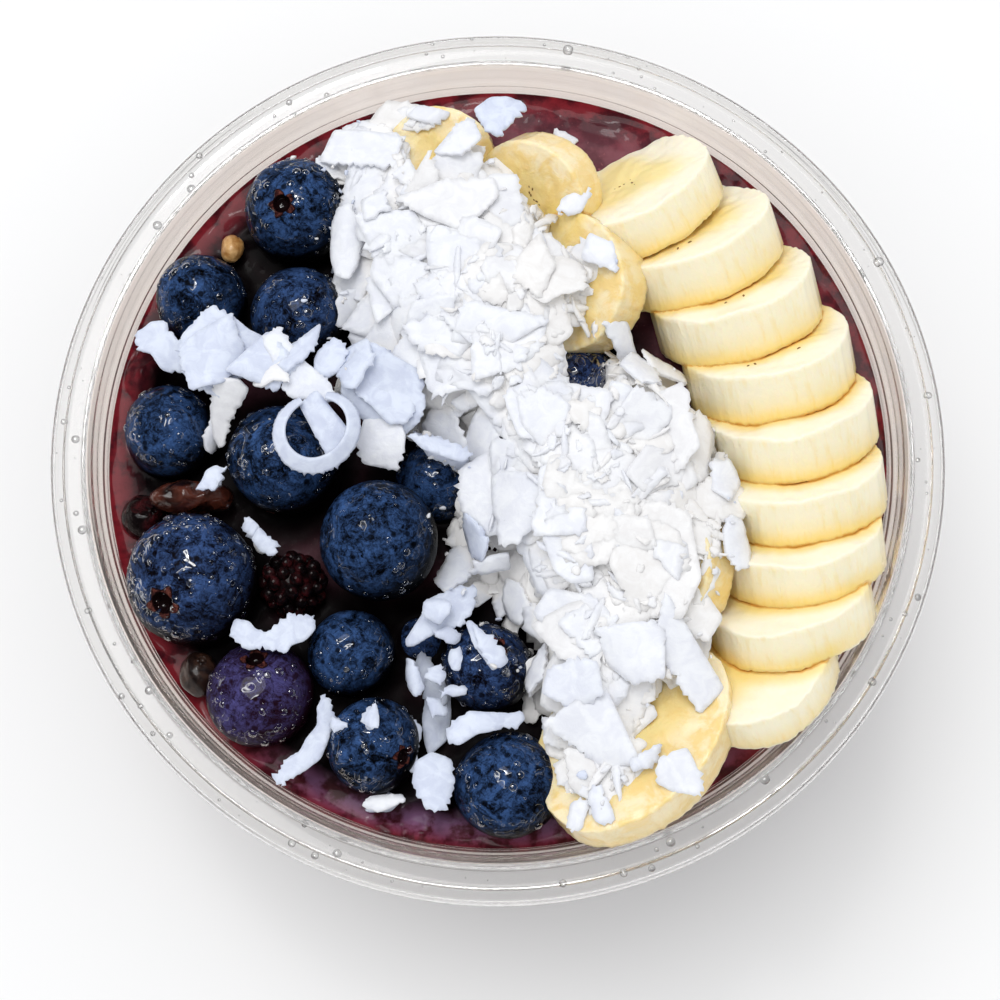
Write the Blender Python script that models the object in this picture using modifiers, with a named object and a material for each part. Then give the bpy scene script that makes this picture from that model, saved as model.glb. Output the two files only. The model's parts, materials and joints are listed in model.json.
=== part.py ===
"""Acai bowl: a clear plastic bowl filled with fruit puree and covered with toppings.

Blueberries lie on the left half, a fan of banana slices leans along the right wall, and a heap of
coconut flakes runs between them. Sizes are in millimetres and become metres where a mesh is made.
The origin is the middle of the base, +Z is up, and the fan stands on the +X side.
"""
import math

import bmesh
import bpy
from mathutils import Matrix, Vector
from mathutils.bvhtree import BVHTree

MM = 0.001

# Driving dimensions of the bowl and its filling
RIM_RADIUS = 63.5
BOWL_HEIGHT = 54.0
BASE_RADIUS = 39.5
WALL = 0.7
WALL_TOP_RADIUS = 55.2
PUREE_LEVEL = 48.5
TURNED_STEPS = 36

# Clearances: between touching pieces, and of a dent beyond the faceted piece that lies in it
GAP = 0.3
DENT_GROWTH = 1.14
FLAKE_THICKNESS = 0.9

# Blueberries: x, y and z of the centre, diameter, and tilt and heading of the crown
BLUEBERRIES = (
    (-29.0, 35.5, 53.5, 15.8, 55, 200),
    (-42.5, 22.8, 51.5, 14.0, 120, 60),
    (-28.5, 20.5, 53.0, 14.2, 130, 300),
    (-46.8, 3.5, 50.5, 14.4, 110, 20),
    (-30.2, -1.2, 53.5, 16.8, 120, 250),
    (-42.8, -18.3, 53.0, 19.0, 40, 235),
    (-16.5, -13.5, 56.5, 17.4, 140, 160),
    (-8.5, -3.5, 48.5, 12.4, 130, 90),
    (-20.5, -28.5, 51.0, 13.0, 120, 120),
    (-33.0, -34.3, 51.2, 15.2, 35, 95),
    (-17.2, -41.6, 52.0, 14.2, 50, 335),
    (-1.5, -30.5, 51.0, 13.0, 25, 60),
    (1.5, -47.0, 51.8, 16.0, 130, 290),
    (-11.0, -26.0, 45.8, 9.0, 120, 20),
    (10.5, 11.0, 50.5, 12.6, 70, 90),
)

# Other fruit: name, x, y and z of the centre, diameters along x, y and z, lumps round the middle,
# share of the radius that a lump stands out, heading, and colour
SMALL_FRUIT = (
    ("raisin", -42.8, -6.4, 51.5, 11.6, 5.0, 5.6, 5, 0.10, 178, (0.10, 0.045, 0.04)),
    ("dark_fruit_round", -50.2, -8.6, 48.8, 6.6, 6.6, 6.4, 0, 0.0, 0, (0.07, 0.015, 0.03)),
    ("drupelet_fruit", -29.2, -18.8, 50.5, 8.6, 10.2, 8.6, 7, 0.09, 85, (0.07, 0.01, 0.03)),
    ("small_brown_fruit", -41.0, -31.2, 50.0, 6.8, 6.8, 6.4, 0, 0.0, 0, (0.11, 0.06, 0.04)),
    ("nut_piece", -38.4, 30.8, 50.6, 3.2, 4.4, 3.0, 3, 0.08, 20, (0.62, 0.33, 0.12)),
)

# Banana slices of the fan: x and y of the centre, tilt from flat, heading of the face, diameter,
# and thickness
FAN_HEIGHT = 53.0
FAN_SLICES = (
    (20.0, 37.6, 50, 120, 24.0, 6.2),
    (28.2, 31.0, 52, 115, 24.0, 6.3),
    (33.8, 22.4, 52, 110, 24.0, 6.4),
    (38.6, 13.6, 52, 106, 24.2, 6.4),
    (41.4, 4.6, 52, 104, 24.0, 6.4),
    (42.6, -4.6, 52, 102, 23.8, 6.4),
    (42.4, -13.6, 52, 102, 23.6, 6.3),
    (40.4, -22.2, 51, 106, 24.0, 6.3),
    (34.8, -29.8, 34, 122, 24.0, 6.0),
)

# Banana slices under the coconut: x, y and z of the centre, tilt, heading, diameter along the
# heading, diameter across it, and thickness
INNER_SLICES = (
    (-8.0, 44.0, 52.5, 14, 250, 14.0, 16.0, 6.0),
    (6.0, 37.5, 55.5, 45, 225, 16.5, 18.0, 6.0),
    (11.5, 24.0, 56.0, 36, 190, 19.0, 20.0, 6.5),
    (23.5, -17.5, 55.5, 38, 178, 19.0, 19.0, 6.5),
    (18.2, -41.2, 55.0, 22, 138, 23.0, 31.0, 6.5),
)

# The coconut heap: y of each section, x of its middle, its half width, and its height
HEAP_BASE = PUREE_LEVEL + 0.9
UNDER_SLICE = 4.0
SLOT_SIDES = 12
HEAP_SECTIONS = (
    (51.0, -17.0, 5.0, 3.0),
    (44.0, -13.5, 10.5, 8.0),
    (34.0, -4.2, 18.5, 11.5),
    (24.0, -3.2, 18.5, 13.0),
    (12.0, 0.5, 21.5, 14.0),
    (4.0, 12.5, 18.0, 14.5),
    (-7.0, 14.5, 19.0, 14.5),
    (-18.0, 16.0, 15.5, 13.5),
    (-29.0, 16.8, 11.5, 12.0),
    (-39.0, 13.5, 7.5, 9.0),
    (-46.0, 11.0, 4.0, 4.5),
)

# Large loose coconut flakes, laid on what is below: name, x, y, length, width, curl in degrees,
# heading and tilt
FLAKES = (
    ("arm_end", -47.6, 15.0, 9.0, 7.5, 40, 150, 5),
    ("arm_flat", -37.8, 12.6, 13.5, 12.0, 50, 20, 0),
    ("arm_corner", -27.6, 10.6, 9.0, 8.0, 60, 100, 20),
    ("strip_in_curl", -23.8, 1.4, 8.0, 4.6, 70, 70, 0),
    ("butterfly", -31.0, -27.0, 12.0, 5.4, 60, 10, 0),
    ("bent_strip", -26.8, -41.2, 12.5, 4.0, 70, 60, -10),
    ("south_chunk", -8.8, -47.2, 7.6, 5.4, 30, 80, 0),
    ("south_tall", -8.6, -37.2, 10.5, 4.2, 50, 95, 0),
    ("south_cross", -1.8, -39.8, 10.5, 4.6, 60, 15, 0),
    ("middle_left", -7.6, -23.4, 8.6, 7.4, 50, 30, 0),
    ("middle_small", -1.4, -28.8, 6.4, 4.6, 50, 120, 0),
    ("north", 0.4, 46.6, 7.0, 6.4, 30, 20, 0),
)
CURL_PLACE = (-25.0, 0.2)


def clean_scene():
    """Start from an empty scene, whatever the file held."""
    for old in list(bpy.data.objects):
        bpy.data.objects.remove(old, do_unlink=True)


def new_collection(name, hidden=False):
    """Return a collection of the scene; a hidden one holds cutters."""
    collection = bpy.data.collections.new(name)
    collection.hide_render = hidden
    bpy.context.scene.collection.children.link(collection)
    return collection


def new_material(name, colour, roughness, alpha=1.0):
    """Return a Principled material with the piece's colour and finish."""
    material = bpy.data.materials.new(name)
    material.use_nodes = True
    shader = material.node_tree.nodes["Principled BSDF"]
    shader.inputs["Base Color"].default_value = (*colour, 1.0)
    shader.inputs["Roughness"].default_value = roughness
    shader.inputs["Metallic"].default_value = 0.0
    shader.inputs["Alpha"].default_value = alpha
    return material


def add_object(name, bm, collection, finish, smooth_angle=50):
    """Turn a bmesh in millimetres into a named object with its own material."""
    bmesh.ops.scale(bm, vec=(MM, MM, MM), verts=bm.verts)
    mesh = bpy.data.meshes.new(name)
    bm.to_mesh(mesh)
    bm.free()
    mesh.shade_smooth()
    if mesh.polygons:
        mesh.set_sharp_from_angle(angle=math.radians(smooth_angle))
    mesh.materials.append(new_material(name, *finish))
    obj = bpy.data.objects.new(name, mesh)
    collection.objects.link(obj)
    return obj


def add_turned(name, profile, steps, collection, finish):
    """Turn a profile of (radius, height) pairs about +Z; it runs down its outer side."""
    bm = bmesh.new()
    verts = [bm.verts.new((radius, 0.0, height)) for radius, height in profile]
    for first, second in zip(verts, verts[1:]):
        bm.edges.new((first, second))
    obj = add_object(name, bm, collection, finish)
    screw = obj.modifiers.new("turn", "SCREW")
    screw.steps = steps
    screw.render_steps = steps
    screw.use_merge_vertices = True
    screw.merge_threshold = 0.01 * MM
    return obj


def set_place(obj, centre, tilt=0.0, heading=0.0):
    """Place a piece: its +X points to heading and its +Z leans by tilt towards it."""
    turn = Matrix.Rotation(math.radians(heading), 4, "Z")
    lean = Matrix.Rotation(math.radians(tilt), 4, "Y")
    obj.matrix_world = Matrix.Translation(Vector(centre) * MM) @ turn @ lean


def cut(obj, cutters, solver="EXACT"):
    """Take the cutters away from a piece; a shape that EXACT loses is cut with MANIFOLD."""
    for cutter in cutters:
        tool = obj.modifiers.new(f"room_for_{cutter.name}", "BOOLEAN")
        tool.operation = "DIFFERENCE"
        tool.solver = solver
        tool.object = cutter


def wall_radius(height):
    """Inner radius of the bowl's tapered wall at a height."""
    share = (height - WALL) / (PUREE_LEVEL - WALL)
    return BASE_RADIUS - WALL + share * (WALL_TOP_RADIUS - BASE_RADIUS + WALL)


def bowl_profile():
    """Wall, stepped neck and down-turned rim, from the inner middle over the rim to the outer."""
    neck = PUREE_LEVEL + 2.0
    inner = [
        (0.0, WALL),
        (wall_radius(WALL) - 2.0, WALL),
        (wall_radius(2.5), 2.5),
        (wall_radius(neck), neck),
        (WALL_TOP_RADIUS + 1.6, neck + 0.8),
        (WALL_TOP_RADIUS + 2.1, BOWL_HEIGHT - 0.7),
        (WALL_TOP_RADIUS + 2.7, BOWL_HEIGHT),
    ]
    top = [
        (WALL_TOP_RADIUS + 3.5, BOWL_HEIGHT),
        (WALL_TOP_RADIUS + 4.2, BOWL_HEIGHT - 1.4),
        (RIM_RADIUS - 2.2, BOWL_HEIGHT - 1.6),
        (RIM_RADIUS - 0.5, BOWL_HEIGHT - 2.5),
        (RIM_RADIUS, BOWL_HEIGHT - 4.4),
    ]
    underside = [
        (RIM_RADIUS - WALL, BOWL_HEIGHT - 4.4),
        (RIM_RADIUS - 1.2, BOWL_HEIGHT - 3.0),
        (RIM_RADIUS - 2.6, BOWL_HEIGHT - 1.6 - WALL),
        (WALL_TOP_RADIUS + 3.2, BOWL_HEIGHT - 1.4 - WALL),
        (WALL_TOP_RADIUS + 2.3, neck + 0.2),
        (wall_radius(neck) + WALL, neck - 0.8),
        (wall_radius(2.5) + WALL, 2.0),
        (BASE_RADIUS - 2.0, 0.0),
        (0.0, 0.0),
    ]
    return inner + top + underside


def add_bowl(collection):
    """The clear bowl."""
    finish = ((0.93, 0.92, 0.90), 0.08, 0.35)
    return add_turned("bowl", bowl_profile(), TURNED_STEPS, collection, finish)


def add_puree(collection):
    """The puree fills the bowl up to its level, climbs a little at the wall and keeps a gap to it."""
    edge = wall_radius(PUREE_LEVEL) - GAP
    profile = [
        (0.0, PUREE_LEVEL),
        (edge - 2.0, PUREE_LEVEL),
        (edge, PUREE_LEVEL + 0.3),
        (wall_radius(2.5) - GAP - 0.1, 2.8),
        (wall_radius(WALL) - 2.4, WALL + GAP + 0.1),
        (0.0, WALL + GAP + 0.1),
    ]
    return add_turned("acai_puree", profile, TURNED_STEPS, collection, ((0.11, 0.022, 0.04), 0.25))


def blueberry_profile(radius):
    """A slightly flattened ball with a round crown pit on top."""
    flatness = 0.93
    pit = 0.30 * radius
    points = [(0.0, 0.74 * radius), (0.8 * pit, 0.74 * radius), (pit, 0.93 * radius)]
    for angle in (34, 60, 88, 116, 146):
        across = radius * math.sin(math.radians(angle))
        points.append((across, flatness * radius * math.cos(math.radians(angle))))
    points.append((0.0, -flatness * radius))
    return points


def add_blueberries(collection):
    """Every blueberry that shows, each a node of its own."""
    berries = []
    for number, (x, y, z, diameter, tilt, heading) in enumerate(BLUEBERRIES, 1):
        finish = ((0.018, 0.035, 0.09), 0.3)
        profile = blueberry_profile(diameter / 2)
        berry = add_turned(f"blueberry_{number:02d}", profile, 12, collection, finish)
        set_place(berry, (x, y, z), tilt, heading)
        berries.append(berry)
    return berries


def slice_outline(angle):
    """Share of the radius along a banana slice's outline, which has soft corners."""
    return 1.0 + 0.018 * math.cos(5 * angle) + 0.012 * math.cos(3 * angle + 0.7)


def banana_mesh(long, short, thickness, segments=16):
    """A banana slice lying flat about the origin, long side along X."""
    bm = bmesh.new()
    bmesh.ops.create_cone(bm, cap_ends=True, segments=segments, radius1=1.0, radius2=1.0,
                          depth=thickness)
    for vert in bm.verts:
        share = slice_outline(math.atan2(vert.co.y, vert.co.x))
        vert.co.x *= share * long / 2
        vert.co.y *= share * short / 2
    return bm


def add_banana(name, long, short, thickness, collection):
    """A banana slice with rounded edges."""
    finish = ((0.93, 0.80, 0.46), 0.35)
    obj = add_object(name, banana_mesh(long, short, thickness), collection, finish)
    bevel = obj.modifiers.new("rounded_edge", "BEVEL")
    bevel.width = 0.9 * MM
    bevel.segments = 1
    bevel.limit_method = "ANGLE"
    bevel.angle_limit = math.radians(60)
    return obj


def banana_rows():
    """Name, place and size of every banana slice, the covering ones first."""
    rows = []
    for number, (x, y, z, tilt, heading, along, across, thick) in enumerate(INNER_SLICES, 1):
        rows.append((f"banana_inner_{number}", (x, y, z), tilt, heading, along, across, thick))
    for number, (x, y, tilt, heading, size, thick) in enumerate(FAN_SLICES, 1):
        centre = (x, y, FAN_HEIGHT)
        rows.append((f"banana_fan_{number}", centre, tilt, heading, size, size, thick))
    return rows


def add_dent(name, place, radius, cutters):
    """A cutter that leaves room for a round piece."""
    bm = bmesh.new()
    bmesh.ops.create_uvsphere(bm, u_segments=8, v_segments=5, radius=radius * DENT_GROWTH + GAP)
    dent = add_object(f"dent_{name}", bm, cutters, ((0.5, 0.5, 0.5), 0.5))
    dent.matrix_world = place
    dent.display_type = "WIRE"
    dent.hide_render = True
    return dent


def add_slot(name, row, cutters, below=0.0):
    """A cutter that leaves room for a banana slice, and for a depth below it."""
    _, centre, tilt, heading, along, across, thick = row
    growth = 1.0 / math.cos(math.pi / SLOT_SIDES)
    bm = banana_mesh(along * growth + 2 * GAP, across * growth + 2 * GAP, thick + 2 * GAP, SLOT_SIDES)
    for vert in bm.verts:
        if vert.co.z < 0.0:
            vert.co.z -= below
    slot = add_object(f"slot_{name}", bm, cutters, ((0.5, 0.5, 0.5), 0.5))
    set_place(slot, centre, tilt, heading)
    slot.display_type = "WIRE"
    slot.hide_render = True
    return slot


def add_small_fruit(collection):
    """Raisin, drupelet fruit and other small pieces between the blueberries."""
    pieces = []
    for name, x, y, z, long, wide, high, lumps, depth, heading, colour in SMALL_FRUIT:
        bm = bmesh.new()
        bmesh.ops.create_uvsphere(bm, u_segments=12 if lumps else 8, v_segments=6, radius=0.5)
        for vert in bm.verts:
            around = math.atan2(vert.co.y, vert.co.x)
            level = 6.0 * vert.co.z
            vert.co *= 1.0 + depth * math.cos(lumps * around + 2.0 * level)
            vert.co = Vector((vert.co.x * long, vert.co.y * wide, vert.co.z * high))
        piece = add_object(name, bm, collection, (colour, 0.3))
        set_place(piece, (x, y, z), 0.0, heading)
        pieces.append(piece)
    return pieces


def heap_section(y):
    """Middle, half width and height of the heap at a y, eased between the named sections."""
    rows = HEAP_SECTIONS
    for first, second in zip(rows, rows[1:]):
        if y >= second[0]:
            share = (first[0] - y) / (first[0] - second[0])
            eased = share * share * (3.0 - 2.0 * share)
            return [a + eased * (b - a) for a, b in zip(first[1:], second[1:])]
    return list(rows[-1][1:])


def heap_relief(x, y):
    """Humps and hollows of the heap's top, in millimetres."""
    return 0.8 * math.sin(0.55 * x + 0.2 * y) + 0.7 * math.sin(0.5 * y - 0.3 * x + 1.3)


def add_heap(collection):
    """The coconut heap: a long uneven dome lofted over its sections, with a flat underside."""
    rows, columns = 19, 8
    first, last = HEAP_SECTIONS[0][0], HEAP_SECTIONS[-1][0]
    bm = bmesh.new()
    grid = []
    for row in range(rows):
        y = first + (last - first) * row / (rows - 1)
        middle, half, height = heap_section(y)
        line = []
        for column in range(columns + 1):
            across = -math.cos(math.pi * column / columns)
            jag = 1.0 + 0.06 * math.sin(2.1 * row + 3.0 * across) * abs(across)
            x = middle + across * half * jag
            edge = column in (0, columns) or row in (0, rows - 1)
            rise = 0.0 if edge else height * (1.0 - abs(across) ** 2.6) + heap_relief(x, y)
            line.append(bm.verts.new((x, y, HEAP_BASE + max(rise, 0.0) + (0.0 if edge else 1.0))))
        grid.append(line)
    for upper, lower in zip(grid, grid[1:]):
        for column in range(columns):
            corners = (upper[column], lower[column], lower[column + 1], upper[column + 1])
            bm.faces.new(corners)
    outline = grid[0] + [line[-1] for line in grid[1:-1]] + grid[-1][::-1]
    outline += [line[0] for line in grid[-2:0:-1]]
    bm.faces.new(outline)
    return add_object("coconut_heap", bm, collection, ((0.92, 0.92, 0.93), 0.5))


def add_flake(name, length, width, curl, collection):
    """A curled shaving with uneven ends, bent round its long axis, with its thickness centred."""
    cells_along, cells_across = 4, 2
    bend = math.radians(curl)
    bm = bmesh.new()
    grid = []
    for i in range(cells_along + 1):
        along = i / cells_along - 0.5
        narrow = 1.0 - 0.5 * abs(2.0 * along) ** 3 + 0.12 * math.sin(5.0 * along + length)
        line = []
        for j in range(cells_across + 1):
            across = (j / cells_across - 0.5) * narrow
            angle = bend * across
            radius = width / bend
            skew = 0.08 * length * math.sin(9.0 * across + width)
            line.append(bm.verts.new((along * length + skew, radius * math.sin(angle),
                                      radius * (math.cos(angle) - 1.0))))
        grid.append(line)
    for upper, lower in zip(grid, grid[1:]):
        for j in range(cells_across):
            bm.faces.new((upper[j], lower[j], lower[j + 1], upper[j + 1]))
    obj = add_object(f"flake_{name}", bm, collection, ((0.93, 0.93, 0.94), 0.5))
    shell = obj.modifiers.new("thickness", "SOLIDIFY")
    shell.thickness = FLAKE_THICKNESS * MM
    shell.offset = 0.0
    return obj


def add_curl(collection):
    """The round curl of coconut: a short tapered band bent almost into a ring."""
    radius, width, opening = 5.6, 3.2, 50.0
    steps = 14
    bm = bmesh.new()
    grid = []
    for i in range(steps + 1):
        angle = math.radians(opening / 2 + (360.0 - opening) * i / steps)
        half = 0.5 * width * (0.75 + 0.25 * math.sin(0.5 * angle))
        ring = radius + 0.4 * math.sin(2.0 * angle)
        line = [bm.verts.new((r * math.cos(angle), r * math.sin(angle), z))
                for r, z in ((ring - half, 0.4 * half), (ring + 0.3 * half, -0.3 * half))]
        grid.append(line)
    for upper, lower in zip(grid, grid[1:]):
        bm.faces.new((upper[0], upper[1], lower[1], lower[0]))
    obj = add_object("flake_curl", bm, collection, ((0.93, 0.93, 0.94), 0.5))
    shell = obj.modifiers.new("thickness", "SOLIDIFY")
    shell.thickness = 1.2 * FLAKE_THICKNESS * MM
    shell.offset = 0.0
    return obj


def world_tree(obj, graph):
    """A search tree over a piece's finished faces in world space."""
    mesh = obj.evaluated_get(graph).to_mesh()
    verts = [obj.matrix_world @ vert.co for vert in mesh.vertices]
    faces = [tuple(face.vertices) for face in mesh.polygons]
    return BVHTree.FromPolygons(verts, faces), verts, faces


def surface_points(verts, faces):
    """The corners, edge middles and face middles of a piece."""
    points = list(verts)
    for face in faces:
        corners = [verts[index] for index in face]
        points.append(sum(corners, Vector()) / len(corners))
        points += [(a + b) / 2 for a, b in zip(corners, corners[1:] + corners[:1])]
    return points


def lay_down(obj, below):
    """Lower a piece from above until it rests a gap clear of the pieces below it."""
    bpy.context.view_layer.update()
    graph = bpy.context.evaluated_depsgraph_get()
    tree, verts, faces = world_tree(obj, graph)
    falls = []
    down, up = Vector((0.0, 0.0, -1.0)), Vector((0.0, 0.0, 1.0))
    for other in below:
        other_tree, other_verts, other_faces = world_tree(other, graph)
        for point in surface_points(verts, faces):
            hit = other_tree.ray_cast(point, down)[0]
            if hit:
                falls.append(point.z - hit.z)
        for point in surface_points(other_verts, other_faces):
            hit = tree.ray_cast(point, up)[0]
            if hit:
                falls.append(hit.z - point.z)
    obj.location.z -= min(falls) - 1.5 * GAP * MM


def bounds_meet(first, second):
    """Whether the boxes round two pieces meet."""
    boxes = []
    for obj in (first, second):
        corners = [obj.matrix_world @ Vector(corner) for corner in obj.bound_box]
        boxes.append([(min(axis), max(axis)) for axis in zip(*corners)])
    return all(a[0] < b[1] and b[0] < a[1] for a, b in zip(*boxes))


def build():
    """Make every piece, then make room in each for those that lie in or over it."""
    clean_scene()
    parts = new_collection("acai_bowl")
    cutters = new_collection("cutters", hidden=True)
    bowl = add_bowl(parts)
    puree = add_puree(parts)
    berries = add_blueberries(parts)
    small = add_small_fruit(parts)
    heap = add_heap(parts)
    bananas = []
    tools = []
    bpy.context.view_layer.update()
    for berry in berries:
        radius = berry.dimensions.x / MM / 2
        tools.append(add_dent(berry.name, berry.matrix_world, radius, cutters))
    bpy.context.view_layer.update()
    tools_of_heap = list(tools)
    for piece in small:
        cut(piece, [tool for tool in tools if bounds_meet(piece, tool)])
    for row in banana_rows():
        name, centre, tilt, heading, along, across, thick = row
        piece = add_banana(name, along, across, thick, parts)
        set_place(piece, centre, tilt, heading)
        bpy.context.view_layer.update()
        cut(piece, [tool for tool in tools if bounds_meet(piece, tool)])
        bananas.append(piece)
        tools.append(add_slot(name, row, cutters))
        bpy.context.view_layer.update()
    for row in banana_rows():
        tools_of_heap.append(add_slot(f"{row[0]}_deep", row, cutters, UNDER_SLICE))
    bpy.context.view_layer.update()
    cut(heap, [tool for tool in tools_of_heap if bounds_meet(heap, tool)], "MANIFOLD")
    for piece in small:
        radius = max(piece.dimensions) / MM / 2
        tools.append(add_dent(piece.name, piece.matrix_world, radius, cutters))
    bpy.context.view_layer.update()
    cut(puree, [tool for tool in tools if bounds_meet(puree, tool)])
    below = [bowl, puree, heap] + berries + small + bananas
    for name, x, y, length, width, curl, heading, tilt in FLAKES:
        flake = add_flake(name, length, width, curl, parts)
        set_place(flake, (x, y, 2 * BOWL_HEIGHT), tilt, heading)
        lay_down(flake, below)
        below.append(flake)
    ring = add_curl(parts)
    set_place(ring, (*CURL_PLACE, 2 * BOWL_HEIGHT), 8.0, 200.0)
    lay_down(ring, below)


build()
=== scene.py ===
"""An acai bowl: purple fruit puree in a clear plastic bowl, under berries, banana and coconut.

Lengths are in millimetres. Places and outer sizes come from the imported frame.
"""

import json
import math

import bpy
import numpy as np
from mathutils import Matrix, Vector
from mathutils.bvhtree import BVHTree
from mathutils.geometry import delaunay_2d_cdt

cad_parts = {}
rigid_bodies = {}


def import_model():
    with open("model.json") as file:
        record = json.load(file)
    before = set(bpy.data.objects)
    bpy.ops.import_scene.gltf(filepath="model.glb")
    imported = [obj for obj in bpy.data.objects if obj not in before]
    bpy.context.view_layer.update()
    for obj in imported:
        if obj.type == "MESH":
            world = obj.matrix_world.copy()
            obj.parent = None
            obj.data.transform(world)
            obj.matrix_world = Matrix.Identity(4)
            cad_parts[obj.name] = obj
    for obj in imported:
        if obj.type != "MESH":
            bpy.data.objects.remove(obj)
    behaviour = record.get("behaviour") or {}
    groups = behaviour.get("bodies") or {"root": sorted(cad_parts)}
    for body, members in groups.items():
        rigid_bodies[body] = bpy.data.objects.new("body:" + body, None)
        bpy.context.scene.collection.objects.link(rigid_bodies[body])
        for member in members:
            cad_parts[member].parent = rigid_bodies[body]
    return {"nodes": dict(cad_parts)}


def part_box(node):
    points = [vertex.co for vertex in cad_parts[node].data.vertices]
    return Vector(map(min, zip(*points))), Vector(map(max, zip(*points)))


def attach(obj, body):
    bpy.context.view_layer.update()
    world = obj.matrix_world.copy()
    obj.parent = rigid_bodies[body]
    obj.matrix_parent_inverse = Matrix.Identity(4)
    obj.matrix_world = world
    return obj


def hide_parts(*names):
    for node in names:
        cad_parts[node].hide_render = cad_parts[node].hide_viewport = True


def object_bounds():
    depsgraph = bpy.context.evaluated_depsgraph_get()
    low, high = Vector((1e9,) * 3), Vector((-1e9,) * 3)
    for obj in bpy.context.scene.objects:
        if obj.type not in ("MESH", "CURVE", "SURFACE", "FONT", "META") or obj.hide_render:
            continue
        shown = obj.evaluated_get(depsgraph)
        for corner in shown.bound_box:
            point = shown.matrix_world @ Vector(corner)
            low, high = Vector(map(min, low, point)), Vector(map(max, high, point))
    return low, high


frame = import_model()
cad_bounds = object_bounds()

# ---- The clear bowl ---------------------------------------------------------------------
# A thin bowl of clear plastic, formed over a mould. Its wall ends in a rounded bead that a lid
# would snap over, and outside the bead lie a flat channel and a lip that turns down.

MM = 0.001
BOWL_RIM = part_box("bowl")[1].x / MM
BOWL_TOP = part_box("bowl")[1].z / MM
BOWL_WALL = 0.7
BOWL_STEPS = 448
# The bowl's flat base and, at its foot, the wall, which leans out by a share of its height
BASE_RADIUS = 36.9
WALL_FOOT = 38.8
WALL_LEAN = 0.3431


def tint(red, green, blue):
    """Return a linear colour with its alpha, from screen values of 0 to 255."""
    shares = [value / 255 for value in (red, green, blue)]
    linear = [s / 12.92 if s <= 0.04045 else ((s + 0.055) / 1.055) ** 2.4 for s in shares]
    return (*linear, 1.0)


class Wire:
    """One socket of a finish. A sum on it adds Math nodes to the finish."""

    def __init__(self, finish, socket):
        self.finish = finish
        self.socket = socket

    def math(self, operation, first, second=0.0):
        return self.finish.node("ShaderNodeMath", {"operation": operation}, {0: first, 1: second})

    def __add__(self, other):
        return self.math("ADD", self, other)

    def __sub__(self, other):
        return self.math("SUBTRACT", self, other)

    def __rsub__(self, other):
        return self.math("SUBTRACT", other, self)

    def __mul__(self, other):
        return self.math("MULTIPLY", self, other)

    def __abs__(self):
        return self.math("ABSOLUTE", self)

    def rise(self, low, high):
        """Return 0 below low and 1 above high, with a soft step between."""
        inputs = {"Value": self, "From Min": low, "From Max": high}
        return self.finish.node("ShaderNodeMapRange", {"interpolation_type": "SMOOTHSTEP"}, inputs)

    def mix(self, first, second):
        """Return the first colour with this share of the second over it."""
        inputs = {0: self, 6: first, 7: second}
        return self.finish.node("ShaderNodeMix", {"data_type": "RGBA"}, inputs, 2)

    __radd__ = __add__
    __rmul__ = __mul__


class Finish:
    """A material in the making, with one method that adds any node to it."""

    def __init__(self, name, constants):
        self.material = bpy.data.materials.new(name)
        self.material.use_nodes = True
        self.tree = self.material.node_tree
        self.shader = self.tree.nodes["Principled BSDF"]
        for key, value in constants.items():
            self.drive(key, value)

    def put(self, socket, value):
        """Link a wire to a socket, or set the socket to a plain value."""
        if isinstance(value, Wire):
            self.tree.links.new(value.socket, socket)
        else:
            socket.default_value = value

    def node(self, kind, settings=None, inputs=None, output=0):
        """Add any node: its settings come first, then the values or wires of its inputs."""
        node = self.tree.nodes.new(kind)
        for key, value in (settings or {}).items():
            setattr(node, key, value)
        for key, value in (inputs or {}).items():
            self.put(node.inputs[key], value)
        return Wire(self, node.outputs[output])

    def place(self):
        """Return the place on the piece, in metres."""
        return self.node("ShaderNodeTexCoord", output="Object")

    def attribute(self, name, output="Fac"):
        """Return what the mesh keeps under a name at each point."""
        return self.node("ShaderNodeAttribute", {"attribute_name": name}, output=output)

    def parts(self, name):
        """Return the three numbers of each row that the mesh keeps under a name."""
        rows = {0: self.attribute(name, "Vector")}
        return [self.node("ShaderNodeSeparateXYZ", inputs=rows, output=n) for n in range(3)]

    def grain(self, size, detail=2.0, rough=0.5, warp=0.0, where=None):
        """Return cloudy noise of 0 to 1 whose lumps are about one size across."""
        settings = {"noise_dimensions": "3D"}
        inputs = {"Vector": where or self.place(), "Scale": 1 / (size * MM), "Detail": detail}
        inputs |= {"Roughness": rough, "Distortion": warp}
        return self.node("ShaderNodeTexNoise", settings, inputs)

    def drive(self, name, value):
        """Set one input of the shader, or let a wire set it."""
        self.put(self.shader.inputs[name], value)

    def bump(self, height, distance):
        """Raise the surface by up to a distance, in the shading alone."""
        inputs = {"Height": height, "Distance": distance * MM, "Strength": 1.0}
        self.drive("Normal", self.node("ShaderNodeBump", inputs=inputs))

    def through_light(self, colour):
        """Let light fall through the clear piece on to what lies behind it."""
        clear = self.node("ShaderNodeBsdfTransparent", inputs={"Color": colour})
        result = Wire(self, self.shader.outputs["BSDF"])
        for ray in ("Is Diffuse Ray", "Is Shadow Ray"):
            path = self.node("ShaderNodeLightPath", output=ray)
            result = self.node("ShaderNodeMixShader", inputs={0: path, 1: result, 2: clear})
        self.put(self.tree.nodes["Material Output"].inputs["Surface"], result)


def add_piece(name, verts, faces, finish, smooth=True):
    """Return a mesh object of points in millimetres. smooth is one answer, or one a face."""
    mesh = bpy.data.meshes.new(name)
    mesh.from_pydata((np.asarray(verts, float) * MM).tolist(), [], faces)
    flags = np.broadcast_to(smooth, len(mesh.polygons))
    mesh.polygons.foreach_set("use_smooth", flags.astype(bool))
    mesh.materials.append(finish.material)
    piece = bpy.data.objects.new(name, mesh)
    bpy.context.scene.collection.objects.link(piece)
    return piece


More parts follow.
